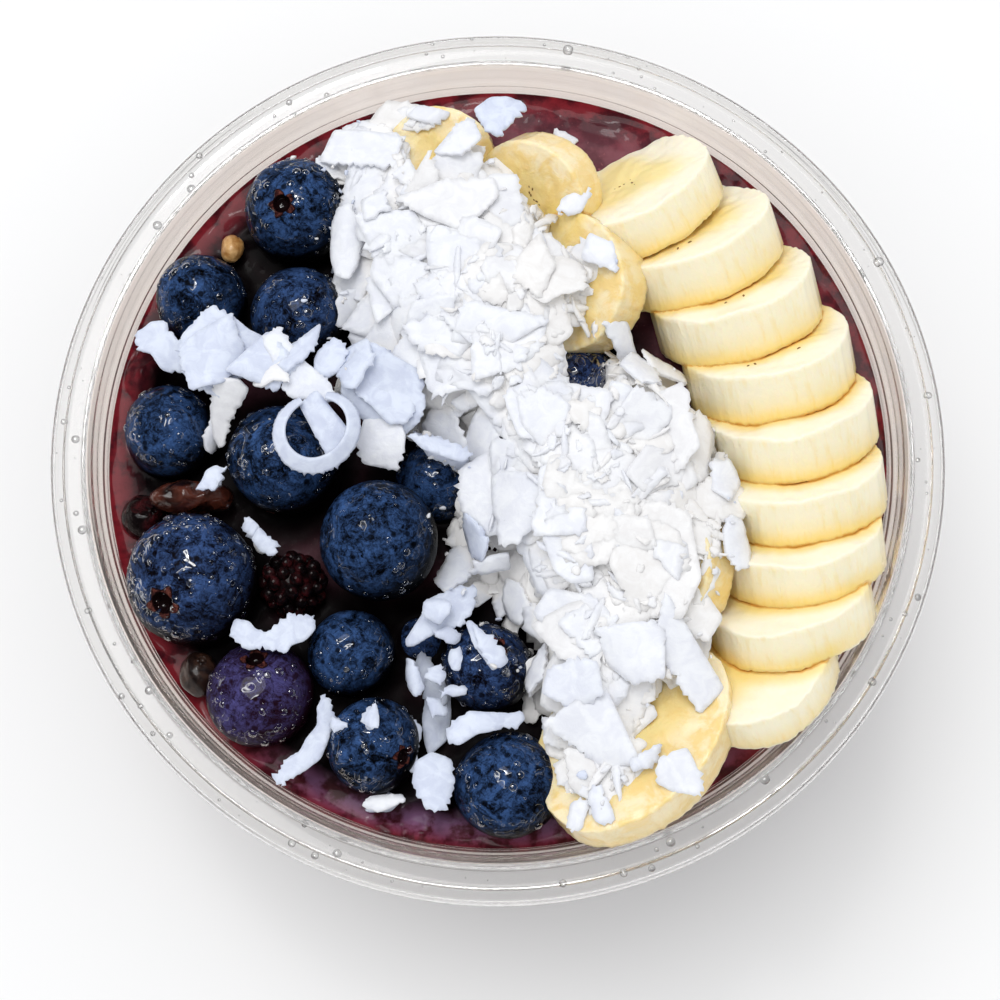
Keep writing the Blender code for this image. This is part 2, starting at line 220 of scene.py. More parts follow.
def keep_on_mesh(piece, name, values):
    """Keep a value for each point of a piece's mesh, or one number for all of them."""
    values = np.asarray(values)
    if values.ndim == 0:
        values = np.full(len(piece.data.vertices), values)
    kind, store, key = "FLOAT", np.float32, "value"
    if values.ndim == 2:
        kind, key = "FLOAT_VECTOR", "vector"
    elif values.dtype.kind == "i":
        kind, store = "INT", np.int32
    attribute = piece.data.attributes.new(name, kind, "POINT")
    attribute.data.foreach_set(key, values.astype(store).ravel())


def place_piece(piece, slot, *nodes):
    """Fix a piece to the bowl's body and hide the solids it stands for. slot is not used."""
    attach(piece, "root")
    if nodes:
        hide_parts(*nodes)


def rounded(outline, radius, steps):
    """Return the outline with an arc in place of each inner corner."""
    result = [outline[0]]
    for before, corner, after in zip(outline, outline[1:], outline[2:]):
        before, corner, after = (np.array(point, float) for point in (before, corner, after))
        gaps = [np.hypot(*(point - corner)) for point in (before, after)]
        reach = min(radius, 0.45 * gaps[0], 0.45 * gaps[1])
        start = corner + (before - corner) * reach / gaps[0]
        end = corner + (after - corner) * reach / gaps[1]
        for t in np.linspace(0, 1, steps + 1):
            result.append(tuple((1 - t) ** 2 * start + 2 * t * (1 - t) * corner + t * t * end))
    return result + [outline[-1]]


def turned(outline, steps):
    """Return the points and faces of an outline turned about the upright axis."""
    verts = []
    faces = []
    rings = []
    for radius, height in outline:
        count = 1 if radius < 1e-6 else steps
        rings.append([len(verts) + n for n in range(count)])
        for n in range(count):
            angle = 2 * math.pi * n / steps
            verts.append((radius * math.cos(angle), radius * math.sin(angle), height))
    for first, second in zip(rings, rings[1:]):
        for n in range(steps):
            m = (n + 1) % steps
            face = [first[n % len(first)], second[n % len(second)]]
            face += [second[m % len(second)], first[m % len(first)]]
            faces.append(list(dict.fromkeys(face)))
    return np.array(verts), faces


def wall_radius(height):
    """Return the radius of the bowl's inner wall, which leans out evenly."""
    return WALL_FOOT + (height - BOWL_WALL) * WALL_LEAN


def sheet_outline(middle, thick):
    """Return the outline of a sheet that follows a middle line: its upper side out, then back."""
    middle = np.array(middle, float)
    along = np.gradient(middle, axis=0)
    along /= np.hypot(*along.T)[:, None]
    across = np.column_stack([-along[:, 1], along[:, 0]]) * thick / 2
    standing = np.zeros(len(middle))
    for radius, height in WALL_RIDGES:
        standing += height * np.exp(-(((middle[:, 0] - radius) / 0.1) ** 2))
    upper = middle + across * (1 + standing / thick * 2)[:, None]
    under = middle - across
    upper[0, 0] = under[0, 0] = 0
    return [tuple(point) for point in upper] + [tuple(point) for point in under[::-1]]


plastic = Finish("clear_plastic", {"Roughness": 0.02, "IOR": 1.49, "Transmission Weight": 0.94})
plastic.drive("Specular Tint", (0.45, 0.45, 0.45, 1.0))
# The wall just inside the bead is tinted tan: partly a film of residue, partly painted shade and
# warm light from the puree seen through the wall.
film_cloud = plastic.grain(5.0, 3.0)
film_and_shade = plastic.attribute("film_and_shade") * (0.7 + 0.5 * film_cloud)
plastic.drive("Base Color", film_and_shade.mix(tint(245, 244, 243), tint(242, 232, 225)))
plastic.through_light(tint(248, 247, 246))

# The middle of the plastic sheet, from the middle of the base to the end of the lip
SHEET = 0.56
# Fine ridges on the inner side: radius and height
WALL_RIDGES = ((55.75, 0.06), (56.2, 0.15), (56.9, 0.08), (58.35, 0.1), (61.35, 0.08))
bowl_middle = [
    (0, 0.35),
    (BASE_RADIUS, 0.35),
    (wall_radius(2.2) + 0.35, 2.2),
    (wall_radius(BOWL_TOP - 3.9) + 0.35, BOWL_TOP - 3.9),
    (BOWL_RIM - 6.85, BOWL_TOP - 3.2),
    (BOWL_RIM - 6.1, BOWL_TOP - 0.75),
    (BOWL_RIM - 5.75, BOWL_TOP - SHEET / 2),
    (BOWL_RIM - 5.3, BOWL_TOP - SHEET / 2),
    (BOWL_RIM - 5.0, BOWL_TOP - 0.9),
    (BOWL_RIM - 4.85, BOWL_TOP - 1.8),
    (BOWL_RIM - 2.5, BOWL_TOP - 1.9),
    (BOWL_RIM - 2.2, BOWL_TOP - 1.35),
    (BOWL_RIM - 1.8, BOWL_TOP - 1.4),
    (BOWL_RIM - 0.55, BOWL_TOP - 2.1),
    (BOWL_RIM - SHEET / 2, BOWL_TOP - 3.0),
    (BOWL_RIM - SHEET / 2, BOWL_TOP - 4.4),
]
bowl_middle = rounded(bowl_middle, 0.5, 4)
for radius, _ in WALL_RIDGES:
    before = max(n for n, point in enumerate(bowl_middle) if point[0] < radius)
    steps = [radius + step for step in np.linspace(-0.24, 0.24, 9)]
    steps = [step for step in steps if bowl_middle[before][0] < step < bowl_middle[before + 1][0]]
    heights = np.interp(steps, *np.array(bowl_middle[before:before + 2]).T)
    bowl_middle[before + 1:before + 1] = zip(steps, heights)
bowl_outline = sheet_outline(bowl_middle, SHEET)
bowl_verts, bowl_faces = turned(bowl_outline, BOWL_STEPS)
bowl = add_piece("clear_bowl", bowl_verts, bowl_faces, plastic)
bowl_reach = np.hypot(bowl_verts[:, 0], bowl_verts[:, 1])
# Where the tan tint of residue film and painted shade lies: the wall just inside the bead, near its
# top
bead_share = np.clip((BOWL_RIM - 5.3 - bowl_reach) / 0.3, 0, 1)
keep_on_mesh(bowl, "film_and_shade", bead_share * np.clip(bowl_verts[:, 2] - BOWL_TOP + 7, 0, 1))
place_piece(bowl, "clear_plastic", "bowl")

# ---- The acai puree ---------------------------------------------------------------------
# Frozen purple fruit blended thick and spooned in, up to a little under the bead. Its top has
# slumped level, with syrup standing at the wall and round whatever is pressed into it. Painted
# shade darkens it round and between the berries.

PUREE_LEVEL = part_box("acai_puree")[1].z / MM - 0.3
INTO_WALL = 0.2
BERRY_COUNT = 15
# Soft pieces of fruit just under the syrup: x, y, radius and height
PUREE_LUMPS = (
    (-50.4, 12.6, 3.0, 2.2),
    (-9.8, -52.0, 3.2, 2.0),
    (-5.4, -51.4, 2.6, 1.8),
    (-27.4, -45.6, 2.6, 1.5),
    (-15.0, -52.2, 2.2, 0.8),
    (-38.2, 34.0, 2.4, 0.6),
    (6.4, 51.2, 1.6, 0.5),
    (-35.6, 33.2, 1.5, 0.5),
    (-52.6, -15.4, 1.6, 0.5),
)


def waves(places, size, seed, count=24):
    """Return smooth noise of about -1 to 1 at each place, made of plane waves of one size."""
    rng = np.random.default_rng(seed)
    places = np.asarray(places, float)
    total = np.zeros(len(places))
    for _ in range(count):
        way = rng.normal(size=places.shape[1])
        way *= 2 * math.pi / size / np.linalg.norm(way) * rng.uniform(0.7, 1.3)
        total += np.cos(places @ way + rng.uniform(0, 2 * math.pi))
    return total / math.sqrt(count)


berry_spots = []
for number in range(1, BERRY_COUNT + 1):
    low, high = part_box(f"blueberry_{number:02d}")
    berry_spots.append(((low + high) / 2 / MM, (high.x - low.x) / 2 / MM))

puree_edge = wall_radius(PUREE_LEVEL + 0.3) + INTO_WALL
top_radii = [0, *np.linspace(0.5, puree_edge - 1.6, 100)]
top_radii += [*np.linspace(puree_edge - 1.4, puree_edge, 8)]
puree_side = [(wall_radius(z) + INTO_WALL, z) for z in np.linspace(PUREE_LEVEL - 1, 2.5, 24)]
puree_outline = [(radius, PUREE_LEVEL) for radius in top_radii] + puree_side
puree_outline += [(BASE_RADIUS, BOWL_WALL - INTO_WALL), (0, BOWL_WALL - INTO_WALL)]
puree_verts, puree_faces = turned(puree_outline, 288)
on_top = puree_verts[:, 2] > PUREE_LEVEL - 0.01
plan = puree_verts[on_top][:, :2]
from_wall = puree_edge - np.hypot(*plan.T)
lift = 0.16 * waves(plan, 11, 1) + 0.07 * waves(plan, 3.2, 2) + 0.03 * waves(plan, 1.2, 3)
lift *= np.clip(from_wall / 2.0, 0.15, 1)
lift += 0.4 * np.exp(-from_wall / 0.8)
syrup = np.exp(-((from_wall / (4.6 + 0.1 * np.clip(-plan[:, 0], 0, 50))) ** 2))
# Painted shade: the puree is darkened round and between the berries, where their shade falls
shaded = np.zeros(len(plan))
for centre, radius in berry_spots:
    ring = math.sqrt(max(radius ** 2 - (centre.z - PUREE_LEVEL) ** 2, 0.1))
    gap = np.abs(np.hypot(plan[:, 0] - centre.x, plan[:, 1] - centre.y) - ring)
    lift += 0.45 * np.exp(-((gap / 0.9) ** 2))
    shaded = np.maximum(shaded, np.exp(-((gap / 7.5) ** 4)) * np.clip(from_wall / 4 - 0.3, 0, 1))
for x, y, radius, height in PUREE_LUMPS:
    reach = np.hypot(plan[:, 0] - x, plan[:, 1] - y) / radius
    uneven = 1 + 0.35 * waves(plan, 2.2, 4)
    lift += height * uneven * np.clip(1 - reach ** 2, 0, 1) ** 0.7
puree_verts[on_top, 2] += lift
# A painted bluish reflection on the open puree near the front, kept away from the painted shade by
# the berries
painted_sheen_share = 0.7 * np.clip((-40 - plan[:, 1]) / 6, 0, 1) * np.clip(from_wall / 3, 0, 1)
painted_sheen_share *= 1 - shaded

puree_finish = Finish("puree", {"Coat Roughness": 0.04, "Specular IOR Level": 0.06})
puree_wet = puree_finish.attribute("wet")
puree_cloud = puree_finish.grain(4.0, 4.0, 0.6)
puree_fleck = puree_finish.grain(0.7, 2.0)
puree_base = puree_cloud.rise(0.35, 0.7).mix(tint(96, 54, 64), tint(124, 76, 88))
puree_base = puree_fleck.rise(0.66, 0.74).mix(puree_base, tint(140, 84, 92))
puree_syrup = puree_cloud.rise(0.4, 0.6).mix(tint(60, 6, 16), tint(118, 22, 32))
puree_colour = (puree_wet * 0.95).mix(puree_base, puree_syrup)
# Painted shade darkens the puree near the berries
puree_painted_shade = puree_finish.attribute("dark")
puree_colour = puree_painted_shade.mix(puree_colour, tint(7, 1, 3))
# The painted bluish reflection lightens the puree near the front
puree_painted_sheen = puree_finish.attribute("frost") * puree_cloud.rise(0.4, 0.6)
puree_finish.drive("Base Color", puree_painted_sheen.mix(puree_colour, tint(124, 108, 150)))
puree_finish.drive("Coat Weight", (0.04 + 0.26 * puree_wet) * (1 - 0.85 * puree_painted_shade))
puree_finish.drive("Roughness", 0.5 - 0.2 * puree_wet)
puree_finish.bump(puree_cloud * 0.6 + puree_fleck * 0.1, 0.12)
puree = add_piece("acai_puree_fill", puree_verts, puree_faces, puree_finish)
# What the puree looks like: a name, the share of each point of the top, and that of the sides
for name, top_shares, side_share in (
    ("wet", syrup, 0.3),
    # The dark share is painted shade round and between the berries; the sides are darkened by a
    # fixed share of it.
    ("dark", shaded, 0.45),
    # The third share is the painted bluish reflection near the front.
    ("frost", painted_sheen_share, 0.0),
):
    shares = np.full(len(puree_verts), side_share)
    shares[on_top] = top_shares
    keep_on_mesh(puree, name, shares)
place_piece(puree, "puree", "acai_puree")

# ---- The blueberries --------------------------------------------------------------------
# Whole fresh berries, wetted by the puree. Each has a shallow pit at its flower end with a
# frill of five dried points, and a waxy bloom that wears away in spots.

# One berry a row: how far its flower end leans from upright and towards what heading, in
# degrees, and how purple and how wet it is
BERRY_LOOKS = (
    (16, 215, 0.0, 0.6),
    (120, 60, 0.0, 0.4),
    (130, 300, 0.05, 0.5),
    (110, 20, 0.0, 0.5),
    (120, 250, 0.0, 0.7),
    (40, 235, 0.1, 0.8),
    (140, 160, 0.0, 0.3),
    (130, 90, 0.0, 0.6),
    (120, 120, 0.0, 0.6),
    (35, 95, 0.85, 0.5),
    (50, 335, 0.0, 0.6),
    (25, 60, 0.1, 0.9),
    (130, 290, 0.0, 0.5),
    (120, 20, 0.1, 0.9),
    (70, 90, 0.2, 1.0),
)
BERRY_STEPS = 96
BERRY_FLATNESS = 0.93


def spin(heading):
    """Return the rotation about the upright axis by a heading, in degrees."""
    return Matrix.Rotation(math.radians(heading), 3, "Z")


def turn(tilt, heading):
    """Return the rotation that leans the upright axis by a tilt towards a heading, in degrees."""
    return spin(heading) @ Matrix.Rotation(math.radians(tilt), 3, "Y")


def lean(tilt, heading):
    """Return the rotation that tips a thing towards a heading, without turning it round."""
    return turn(tilt, heading) @ spin(-heading)


def lobes(angle, rng, *rows):
    """Return soft lobes round a ring. A row says how high they are and how many there are."""
    return sum(height * np.cos(count * angle + rng.uniform(0, 6)) for height, count in rows)


def berry_outline():
    """Return the outline of a berry of radius 1, from its flower end's pit to its stalk end."""
    pit = [(0.0, 0.78), (0.05, 0.78), (0.1, 0.79), (0.13, 0.82), (0.15, 0.86), (0.165, 0.9)]
    ball = []
    for angle in [*np.arcsin(np.linspace(0.18, 0.4, 12)), *np.linspace(0.45, math.pi, 42)]:
        ball.append((math.sin(angle), BERRY_FLATNESS * math.cos(angle)))
    ball[-1] = (0.0, -0.9)
    return pit + ball


def berry_mesh(radius, seed):
    """Return a berry's points and faces, its flower end up, and the dried share of each point."""
    rng = np.random.default_rng(seed)
    verts, faces = turned(berry_outline(), BERRY_STEPS)
    reach = np.hypot(verts[:, 0], verts[:, 1])
    angle = np.arctan2(verts[:, 1], verts[:, 0])
    point = 0.19 + 0.1 * np.abs(np.cos(2.5 * angle + rng.uniform(0, 3))) ** 1.6
    point += lobes(angle, rng, (0.02, 3), (0.012, 11))
    star = np.clip((point - reach) / 0.03, 0, 1) * (verts[:, 2] > 0)
    verts[:, 2] += 0.035 * star * (reach > 0.17)
    dried = star * np.where(reach < 0.17, 0.5, 1.0)
    folds = np.exp(-(((reach - 0.45) / 0.16) ** 2)) * (verts[:, 2] > 0)
    verts[:, 2] += folds * lobes(angle, rng, (0.012, 5))
    uneven = 1 + 0.012 * waves(verts, 1.7, seed) + 0.004 * waves(verts, 0.5, seed + 50)
    verts *= uneven[:, None] * radius
    return verts, faces, dried


berry_constants = {"IOR": 1.3, "Specular IOR Level": 0.08, "Coat IOR": 2.0, "Coat Roughness": 0.03}
berry_finish = Finish("blueberry_skin", berry_constants)
berry_dried, berry_purple, berry_wetness = berry_finish.parts("skin")
bloom_cloud = berry_finish.grain(4.2, 5.0, 0.7, 1.4)
bloom_fine = berry_finish.grain(0.8, 4.0, 0.7, 1.6)
bloom = (bloom_cloud * 0.7 + bloom_fine * 0.5).rise(0.47, 0.79)
spots = berry_finish.node(
    "ShaderNodeTexVoronoi",
    {"feature": "SMOOTH_F1"},
    {"Vector": berry_finish.place(), "Scale": 1 / (1.9 * MM), "Smoothness": 0.3},
)
bare_spots = 1 - spots.rise(0.16, 0.3)
bloom = bloom * (1 - bare_spots * 0.85)
# Painted light: the bloom shows on the side towards the lamp, and the far side is left a near-black
# painted shade.
berry_lit = berry_finish.attribute("painted_lit_side")
bloom = bloom * berry_lit
skin_blue = bloom.mix(tint(3, 4, 8), tint(57, 87, 137))
skin_purple = bloom.mix(tint(30, 8, 20), tint(76, 66, 118))
skin = berry_purple.mix(skin_blue, skin_purple)
skin = berry_dried.rise(0.2, 0.5).mix(skin, tint(20, 7, 9))
dried_colour = bloom_fine.rise(0.4, 0.65).mix(tint(34, 12, 16), tint(96, 52, 44))
berry_finish.drive("Base Color", berry_dried.rise(0.6, 0.95).mix(skin, dried_colour))
film_noise = berry_finish.grain(3.0, 2.0, 0.5, 1.4)
film = film_noise.rise(0.5, 0.54)
film_rim = film * (1 - film_noise.rise(0.53, 0.56))
film_gloss = (film_rim * 3.6 + film * 0.3) * berry_wetness * berry_lit
berry_finish.drive("Coat Weight", film_gloss * (1 - berry_dried))
berry_finish.drive("Roughness", 0.36 + bloom * 0.25)
berry_finish.bump(film * 0.8 + bloom_fine * 0.3 + bloom_cloud * 0.3, 0.12)

berries = []
berry_looks = zip(BERRY_LOOKS, berry_spots)
for number, ((tilt, heading, purple, wetness), (centre, radius)) in enumerate(berry_looks, 1):
    verts, faces, dried = berry_mesh(radius, number)
    verts = verts @ np.array(turn(tilt, heading)).T + centre
    berry = add_piece(f"fine_blueberry_{number:02d}", verts, faces, berry_finish)
    keep_on_mesh(berry, "skin", [(share, purple, wetness) for share in dried])
    # How far each point faces the lamp, for the painted light and shade of the bloom
    toward_light = (verts - centre) @ np.array((-0.22, 0.12, 0.97)) / radius
    keep_on_mesh(berry, "painted_lit_side", np.clip((toward_light - 0.05) / 0.75, 0, 1) ** 0.8)
    place_piece(berry, "blueberry_skin", f"blueberry_{number:02d}")
    berries.append(berry)

# ---- The small dark fruit and the nut ---------------------------------------------------
# A soaked raisin, two small round fruits, a cluster of drupelets and a piece of nut, blended in
# with the puree and left showing at its top.

DRUPELET_COUNT = 46
GOLDEN_ANGLE = 2.39996


def ball_mesh(size, steps, rows):
    """Return the points and faces of a ball stretched to a size along each axis."""
    angles = np.linspace(0, math.pi, rows + 1)
    outline = [(abs(math.sin(angle)) / 2, math.cos(angle) / 2) for angle in angles]
    outline[0] = (0.0, 0.5)
    outline[-1] = (0.0, -0.5)
    verts, faces = turned(outline, steps)
    return verts * np.array(size), faces


def fruit_spot(node):
    """Return the middle and the sizes of a solid, in millimetres."""
    low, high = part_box(node)
    return np.array((low + high) / 2) / MM, np.array(high - low) / MM


def mottled(name, constants, grain, step, colours, bump):
    """Return a finish of two colours in soft patches that also raise the surface."""
    finish = Finish(name, constants)
    cloud = finish.grain(*grain)
    finish.drive("Base Color", cloud.rise(*step).mix(*(tint(*colour) for colour in colours)))
    finish.bump(cloud, bump)
    return finish


def coated(weight, coat_roughness, roughness):
    """Return the constants of a finish with a wet coat over it."""
    return {"Coat Weight": weight, "Coat Roughness": coat_roughness, "Roughness": roughness}


dark_wet = coated(0.7, 0.04, 0.5) | {"Coat IOR": 1.35, "Specular IOR Level": 0.1}
raisin_wet = coated(1.0, 0.03, 0.35)
brown_wet = coated(0.4, 0.05, 0.4)
nut_wet = coated(0.5, 0.08, 0.4)
# Name, constants, the grain's size, detail, roughness and warp, its step, two colours, the bump
MOTTLED = (
    ("dark_fruit", dark_wet, (1.6, 4.0, 0.6, 0.5), (0.45, 0.75), ((12, 3, 5), (66, 16, 20)), 0.9),
    ("raisin", raisin_wet, (2.4, 2.0, 0.5, 0.6), (0.3, 0.7), ((24, 9, 8), (88, 40, 26)), 0.9),
    ("brown_fruit", brown_wet, (1.8, 3.0, 0.6, 0.4), (0.35, 0.65), ((20, 8, 8), (58, 36, 26)), 0.2),
    ("nut", nut_wet, (1.5, 4.0, 0.6), (0.3, 0.7), ((168, 112, 52), (222, 178, 118)), 0.15),
)
dark_finish, raisin_finish, brown_finish, nut_finish = (mottled(*row) for row in MOTTLED)

middle, size = fruit_spot("raisin")
verts, faces = ball_mesh(size, 96, 64)
along = verts[:, 0] / size[0] * 2
blunt = np.sqrt(np.clip(1 - along ** 4, 0, 1) / np.clip(1 - along ** 2, 1e-6, 1))
creases = 0.5 * np.abs(waves(verts, 4.0, 11)) + 0.1 * np.abs(waves(verts, 2.2, 12))
verts[:, 1:] *= (blunt * (1.0 - 0.2 * creases + 0.1 * np.cos(5.2 * along + 0.6)))[:, None]
raisin = add_piece("soaked_raisin", verts + middle, faces, raisin_finish)
place_piece(raisin, "dark_fruit", "raisin")

for node, finish, seed, heading in (
    ("dark_fruit_round", dark_finish, 21, 20),
    ("small_brown_fruit", brown_finish, 22, 70),
):
    middle, size = fruit_spot(node)
    verts, faces, _ = berry_mesh(1.0, seed)
    verts = verts @ np.array(turn(38, heading)).T
    verts *= (1 + 0.03 * waves(verts, 0.8, seed))[:, None] * size / 2
    fruit = add_piece(f"fine_{node}", verts + middle, faces, finish)
    place_piece(fruit, "dark_fruit", node)

middle, size = fruit_spot("drupelet_fruit")
drupelet_verts = []
drupelet_faces = []
for n in range(DRUPELET_COUNT):
    height = 1 - 2 * (n + 0.5) / DRUPELET_COUNT
    angle = GOLDEN_ANGLE * n
    out = math.sqrt(1 - height ** 2)
    spot = np.array((out * math.cos(angle), out * math.sin(angle), height)) * (size / 2 - 0.75)
    verts, faces = ball_mesh((2.1, 2.1, 2.1), 20, 12)
    drupelet_faces += [[index + len(drupelet_verts) for index in face] for face in faces]
    drupelet_verts += (verts * (1 + 0.12 * math.sin(3.7 * n)) + spot + middle).tolist()
core_verts, core_faces = ball_mesh(size - 1.6, 32, 20)
drupelet_faces += [[index + len(drupelet_verts) for index in face] for face in core_faces]
drupelet_verts += (core_verts + middle).tolist()
drupelets = add_piece("drupelet_cluster", drupelet_verts, drupelet_faces, dark_finish)
place_piece(drupelets, "dark_fruit", "drupelet_fruit")

middle, size = fruit_spot("nut_piece")
verts, faces = ball_mesh(size, 48, 32)
verts *= (1 + 0.06 * waves(verts, 2.4, 31) - 0.04 * np.abs(waves(verts, 1.1, 32)))[:, None]
nut = add_piece("fine_nut_piece", verts + middle, faces, nut_finish)
place_piece(nut, "nut", "nut_piece")

# ---- The banana slices ------------------------------------------------------------------
# Ripe banana peeled and cut across. Nine slices lean on one another in a fan along the wall,
# and five lie under the coconut. The cut faces are dull and the sides wet, with soft strings.

# One slice a row: its solid's name, how far its axis leans and towards what heading, then its
# width along the lean, its width across, its thickness, and how far it is moved along its axis.
# Soft flesh has settled on the slice below, so these reach a little lower than their solids.
SLICES = (
    ("banana_fan_1", 50, 120, 24.0, 24.0, 6.7, -0.25),
    ("banana_fan_2", 52, 115, 24.0, 24.0, 7.7, -0.7),
    ("banana_fan_3", 52, 110, 24.0, 24.0, 7.9, -0.75),
    ("banana_fan_4", 52, 106, 24.2, 24.2, 7.7, -0.65),
    ("banana_fan_5", 52, 104, 24.0, 24.0, 7.4, -0.5),
    ("banana_fan_6", 52, 102, 23.8, 23.8, 7.2, -0.4),
    ("banana_fan_7", 52, 102, 23.6, 23.6, 6.8, -0.25),
    ("banana_fan_8", 51, 106, 24.0, 24.0, 6.4, -0.05),
    ("banana_fan_9", 34, 122, 24.0, 24.0, 6.0, 0.0),
    ("banana_inner_1", 14, 250, 14.0, 16.0, 6.0, 0.0),
    ("banana_inner_2", 45, 225, 16.5, 18.0, 6.0, 0.0),
    ("banana_inner_3", 36, 190, 19.0, 20.0, 6.5, 0.0),
    ("banana_inner_4", 38, 178, 19.0, 19.0, 6.5, 0.0),
    ("banana_inner_5", 22, 138, 23.0, 31.0, 6.5, 0.0),
)
SLICE_STEPS = 128


def slice_mesh(along, across, thick, seed):
    """Return a slice's points and faces, lying flat, and each point's place on it from -1 to 1."""
    edge = 1.2
    face = [(share, 0.5) for share in np.linspace(0, 1 - 2 * edge / along, 22)]
    side = [(1.0, height) for height in np.linspace(0.5 - edge / thick, -0.5 + edge / thick, 9)]
    corner = rounded([face[-1], (1.0, 0.5), side[0]], 2.0, 7)[1:-1]
    foot = [(share, -height) for share, height in reversed(face + corner)]
    verts, faces = turned(face + corner + side + foot[1:], SLICE_STEPS)
    verts[:, 2] = np.clip(verts[:, 2], -0.5, 0.5)
    spot = np.column_stack([verts[:, :2], verts[:, 2] * 2])
    angle = np.arctan2(verts[:, 1], verts[:, 0])
    reach = np.hypot(verts[:, 0], verts[:, 1])
    rng = np.random.default_rng(seed)
    sides = lobes(angle, rng, (0.012, 3), (0.01, 5))
    ring = np.column_stack([np.cos(angle), np.sin(angle)]) * along / 2
    strings = 0.006 * waves(ring, 1.3, seed + 1) + 0.003 * waves(ring, 0.6, seed + 2)
    verts[:, :2] *= (1 + (sides + strings) * reach ** 6)[:, None]
    verts *= (along / 2, across / 2, thick)
    face_side = np.sign(verts[:, 2]) * np.clip(np.abs(spot[:, 2]) * 3 - 2, 0, 1)
    dish = 0.16 * waves(verts[:, :2], 9, seed + 3) + 0.05 * waves(verts[:, :2], 2.4, seed + 4)
    dish -= 0.35 * np.exp(-((reach / 0.22) ** 2))
    dish += 0.1 * waves(ring, 1.0, seed + 5) * reach ** 8
    verts[:, 2] += face_side * dish
    return verts, faces, spot


def solid_tree(objects):
    """Return one search tree of the faces of several objects, in millimetres."""
    verts = []
    faces = []
    for obj in objects:
        start = len(verts)
        verts += [vertex.co / MM for vertex in obj.data.vertices]
        faces += [[start + index for index in face.vertices] for face in obj.data.polygons]
    return BVHTree.FromPolygons(verts, faces)


banana_constants = {"Subsurface Weight": 0.25, "Subsurface Scale": MM, "Coat Roughness": 0.08}
banana_constants["Subsurface Radius"] = (1.6, 1.1, 0.45)
banana_finish = Finish("banana_flesh", banana_constants)
slice_x, slice_y, slice_height = banana_finish.parts("slice")
slice_flat = banana_finish.node("ShaderNodeCombineXYZ", inputs={0: slice_x, 1: slice_y})
slice_reach = banana_finish.node(
    "ShaderNodeVectorMath", {"operation": "LENGTH"}, {0: slice_flat}, "Value"
)
slice_angle = slice_y.math("ARCTAN2", slice_y, slice_x)
slice_lobes = banana_finish.node("ShaderNodeMath", {"operation": "COSINE"}, {0: slice_angle * 3})
flesh_cloud = banana_finish.grain(3.5, 4.0, 0.6, 0.4)
flesh_fine = banana_finish.grain(0.8, 3.0, 0.6)
# The strings run along the sides: their noise is drawn out from one face to the other
along_side = {0: slice_x * 0.012, 1: slice_y * 0.012, 2: slice_height * 0.0009}
string_place = banana_finish.node("ShaderNodeCombineXYZ", inputs=along_side)
strings = banana_finish.grain(1.0, 3.0, 0.6, where=string_place)
core_edge = 0.62 + 0.12 * slice_lobes + 0.3 * (flesh_cloud - 0.5)
core_share = 1 - (slice_reach - core_edge).rise(-0.3, 0.2)
on_face = abs(slice_height).rise(0.8, 0.98)
touching = banana_finish.attribute("touching")
# Painted light near where slices touch: a wide golden glow of light passing between the slices, and
# a narrow amber line of juice with painted glow.
painted_glow = (1 - touching.rise(0.2, 2.8)) * 0.75
juice_and_glow = (1 - touching.rise(0.12, 0.5)) * 0.8
ripe = banana_finish.attribute("ripe")
face_colour = core_share.mix(tint(253, 244, 220), tint(250, 228, 160))
string_lines = strings.rise(0.5, 0.72) * 0.35
# The lower part of each side is painted a deeper yellow, a painted glow from the slice below it
painted_low_glow = (1 - slice_height.rise(-0.9, 0.5)) * 0.75
side_colour = (painted_low_glow + string_lines).mix(tint(252, 242, 212), tint(246, 221, 152))
flesh = on_face.mix(side_colour, face_colour)
juicy = ripe * (0.4 + 0.5 * flesh_cloud.rise(0.42, 0.64))
flesh = juicy.mix(flesh, tint(243, 210, 130))
flesh = painted_glow.mix(flesh, tint(251, 219, 124))
flesh = juice_and_glow.mix(flesh, tint(224, 160, 48))
banana_finish.drive("Base Color", flesh)
banana_finish.drive("Coat Weight", 0.5 - 0.3 * on_face + 0.4 * juice_and_glow + 0.4 * juicy)
banana_finish.drive("Roughness", 0.42 + 0.16 * on_face - 0.12 * flesh_cloud)
soft_bump = flesh_cloud * (0.4 + 0.8 * ripe) + flesh_fine * 0.35
banana_finish.bump(soft_bump + strings * (1 - on_face) * 0.6, 0.3)

slices = []
for number, (node, tilt, heading, along, across, thick, moved) in enumerate(SLICES):
    middle, size = fruit_spot(node)
    verts, faces, spot = slice_mesh(along, across, thick, 100 + 10 * number)
    verts = (verts + (0, 0, moved)) @ np.array(turn(tilt, heading)).T + middle
    banana = add_piece(f"fine_{node}", verts, faces, banana_finish)
    keep_on_mesh(banana, "slice", spot)
    keep_on_mesh(banana, "ripe", float("inner" in node))
    place_piece(banana, "banana_flesh", node)
    slices.append(banana)

# How far each point is from the slices before and after its own, where juice gathers and the glow
# between slices is painted
slice_trees = [solid_tree([banana]) for banana in slices]
for number, banana in enumerate(slices):
    neighbours = slice_trees[max(number - 1, 0):number] + slice_trees[number + 1:number + 2]
    touching = []
    for vertex in banana.data.vertices:
        hits = [tree.find_nearest(vertex.co / MM, 4.0)[3] for tree in neighbours]
        touching.append(min([4.0] + [gap for gap in hits if gap is not None]))
    keep_on_mesh(banana, "touching", touching)

# ---- The banana seeds -------------------------------------------------------------------
# Tiny dark seeds that never ripened, in three short rows round the middle of each cut face.

SEED_ROWS = 3
# A height above everything, from which rays are cast down
OVERHEAD = 90
